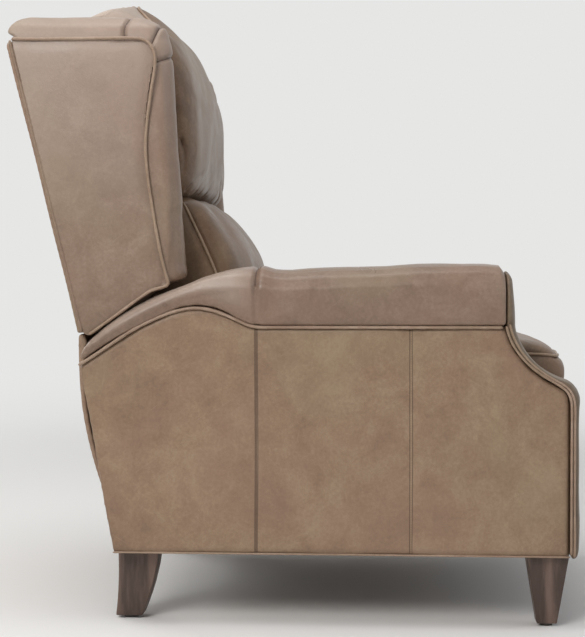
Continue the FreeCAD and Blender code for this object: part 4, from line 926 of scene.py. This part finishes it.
# creases from the pillow's foot upwards, each with its depth and width
GATHERS = [
    ([(-237, 193, 748), (-225, 184, 765), (-187, 180, 777), (-133, 175, 794)], 0.0034, 0.0052),
    ([(-205, 190, 746), (-192, 183, 758), (-165, 179, 771), (-120, 176, 785)], 0.0020, 0.0042),
    ([(-157, 188, 746), (-149, 179, 762), (-106, 176, 780), (-40, 173, 803)], 0.0034, 0.0056),
    ([(-110, 187, 746), (-102, 179, 761), (-70, 176, 774), (-30, 174, 788)], 0.0020, 0.0042),
    ([(-43, 186, 746), (-29, 176, 766), (16, 174, 780), (70, 173, 797)], 0.0030, 0.0056),
    ([(89, 185, 747), (98, 179, 760), (118, 176, 775), (130, 175, 795)], 0.0034, 0.0050),
    ([(172, 188, 746), (168, 180, 763), (150, 177, 782), (120, 175, 806)], 0.0026, 0.0050),
    ([(236, 193, 748), (226, 184, 766), (196, 180, 781), (160, 177, 796)], 0.0032, 0.0052),
    ([(-262, 200, 838), (-262, 190, 818), (-262, 188, 800), (-260, 195, 782)], 0.0046, 0.0056),
    ([(260, 210, 826), (262, 203, 805), (262, 200, 786), (258, 203, 768)], 0.0036, 0.0060),
]
GATHER_REACH = 0.10
gathers = [(curved(in_metres(line)), depth, width) for line, depth, width in GATHERS]
refine(head, [line for line, depth, width in gathers])
for line, depth, width in gathers:
    seam(head, line, "fold", depth, width, weight=lambda p, start=line[0]: np.clip(
        1.1 - np.linalg.norm(p - start, axis=1) / GATHER_REACH, 0.0, 1.0))
# the seam to the crest turns forward at its ends, and the hide behind it takes the same painted highlight as the
# crest
CREST_SEAM = [(245, 248, 1034), (225, 255, 1043), (205, 262, 1053), (190, 269, 1063), (180, 276, 1071),
              (166, 287, 1082), (150, 296, 1092), (120, 300, 1099), (60, 302, 1105), (0, 301, 1107)]
crest_seam = arch(CREST_SEAM)


def behind_seam(p):
    """How far the head pillow's skin lies behind the crest's seam."""
    half = np.array(CREST_SEAM[::-1], float) / 1000.0
    past = p[:, 1] - np.interp(np.abs(p[:, 0]), half[:, 0], half[:, 1])
    return rise(past, 0.0, 0.006) * rise(p[:, 2], 1.030, 0.012)


# painted sheen on the pillow's front, and behind the crest's seam the painted highlight
paint_sheen(head, lambda p, n: 0.72 * frontal(p, n, 0.05) + 1.1 * behind_seam(p))


# Crest: the padded top of the back, arched between the wings. Foam under hide, which
# is stapled behind and sewn to the headrest pillow. Its paler tone is a painted highlight.

# paler tones than the other hides: a painted highlight on the crest
crest_highlight_hide = hide("crest_highlight_hide", srgb(152, 130, 114), srgb(172, 151, 135), srgb(192, 173, 158), (0.2, 3.1, 1.4), 0.36)
crest = skin_of("crest_cover", "crest_pad", 0.0055, 8, 4, crest_highlight_hide)
low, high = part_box("crest_pad")
blow_up(crest, [(crest_line, 0.030)], 0.008, (low[0], low[1] - 0.002, low[2]),
        (high[0], high[1] + 0.002, high[2] + 0.003))
finer(crest)
undulate(crest, 0.0010, 0.14)
# painted sheen on the crest's upward faces, standing in for the top lamp's highlight
paint_sheen(crest, lambda p, n: 0.7 * np.clip(n[:, 2], 0.0, 1.0) ** 2)
seam(head, crest_seam, "fold", 0.0018, 0.006)
piping("crest_welt", laid_on(head, crest_seam, 0.0016), 0.0026, "back", welt_hide)


# Footrest: padded front board below the seat, which swings out level when it opens.
# Foam under hide, stapled behind the board's edges.

foot_pad = skin_of("footrest_cover", "footrest_pad", 0.0050, 8, 3, seat_hide)
low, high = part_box("footrest_pad")
blow_up(foot_pad, [], 0.008, (low[0] - 0.001, low[1] - 0.006, low[2] - 0.001),
        (high[0] + 0.001, high[1], high[2] + 0.001))
finer(foot_pad)
undulate(foot_pad, 0.0009, 0.15)


# Studio: pale floor and backdrop in one sweep, soft lamps, and the camera at the
# photograph's place.

turn = [math.radians(3.0 * step) for step in range(31)]
BEND = 3.4
sweep_points = [(-9.0, 0.0)] + [(3.0 + BEND * math.sin(t), BEND - BEND * math.cos(t)) for t in turn] + [(6.4, 8.0)]
mesh = bpy.data.meshes.new("floor_sweep")
vertices = [(x, y, z) for x, z in sweep_points for y in (-9.0, 9.0)]
faces = [(2 * k, 2 * k + 1, 2 * k + 3, 2 * k + 2) for k in range(len(sweep_points) - 1)]
mesh.from_pydata(vertices, [], faces)
mesh.shade_smooth()
floor_sweep = bpy.data.objects.new("floor_sweep", mesh)
scene.collection.objects.link(floor_sweep)
floor_finish = bpy.data.materials.new("floor_finish")
floor_finish.use_nodes = True
tree = floor_finish.node_tree
floor_shader = tree.nodes["Principled BSDF"]
floor_shader.inputs["Roughness"].default_value = 0.9


def in_sight(tree):
    """1 for rays that bring a surface into the picture, straight, mirrored or through something."""
    rays = add_node(tree, "LightPath").outputs
    seen = sums(tree, "MAXIMUM", rays["Is Camera Ray"], rays["Is Glossy Ray"])
    return sums(tree, "MAXIMUM", seen, rays["Is Transmission Ray"])


seen = in_sight(tree)
floor_tone = blended(tree, seen, (0.80, 0.80, 0.79, 1.0), (0.90, 0.90, 0.89, 1.0))
tree.links.new(floor_tone, floor_shader.inputs["Base Color"])
glow = add_node(tree, "Emission", {"Color": (0.99, 0.99, 0.98, 1.0), "Strength": 0.80})
place = add_node(tree, "TexCoord").outputs["Object"]
reach = add_node(tree, "VectorMath", {0: place}, operation="LENGTH").outputs["Value"]
far = sums(tree, "MULTIPLY", spread(tree, reach, 1.6, 4.4), seen)
finish = add_node(tree, "MixShader", {0: far, 1: floor_shader.outputs["BSDF"], 2: glow.outputs["Emission"]})
tree.links.new(finish.outputs["Shader"], tree.nodes["Material Output"].inputs["Surface"])
mesh.materials.append(floor_finish)


def soft_lamp(name, place, aim, width, height, watts, colour):
    lamp = bpy.data.lights.new(name, "AREA")
    lamp.shape = "RECTANGLE"
    lamp.size = width
    lamp.size_y = height
    lamp.energy = watts
    lamp.color = colour
    item = bpy.data.objects.new(name, lamp)
    item.location = place
    item.rotation_euler = (Vector(aim) - Vector(place)).to_track_quat("-Z", "Y").to_euler()
    scene.collection.objects.link(item)


soft_lamp("side_softbox", (-3.3, 1.4, 2.5), (0.0, 0.0, 0.6), 1.9, 1.5, 72.0, (1.0, 0.975, 0.955))
soft_lamp("front_window", (-0.6, -3.8, 2.0), (0.0, 0.0, 0.7), 2.4, 2.2, 15.0, (0.85, 0.92, 1.0))
soft_lamp("top_panel", (-0.5, 0.4, 3.2), (0.0, 0.0, 0.5), 1.8, 2.2, 33.0, (1.0, 0.98, 0.96))
soft_lamp("rear_fill", (2.4, 3.0, 2.0), (0.0, 0.0, 0.6), 2.2, 2.2, 28.0, (1.0, 0.98, 0.95))

world = bpy.data.worlds.new("studio")
world.use_nodes = True
tree = world.node_tree
sky = tree.nodes["Background"]
tree.links.new(blended(tree, in_sight(tree), (0.36, 0.36, 0.365, 1.0), (0.79, 0.79, 0.785, 1.0)), sky.inputs["Color"])
scene.world = world
scene.view_settings.view_transform = "Standard"

camera = bpy.data.cameras.new("camera")
camera.lens = 84.1
camera.sensor_width = 36.0
camera_object = bpy.data.objects.new("camera", camera)
camera_object.location = (-2.892, -0.1596, 0.5796)
yaw, pitch = math.radians(3.557), math.radians(1.287)
gaze = Vector((math.cos(yaw) * math.cos(pitch), math.sin(yaw) * math.cos(pitch), -math.sin(pitch)))
camera_object.rotation_euler = gaze.to_track_quat("-Z", "Y").to_euler()
scene.collection.objects.link(camera_object)
scene.camera = camera_object
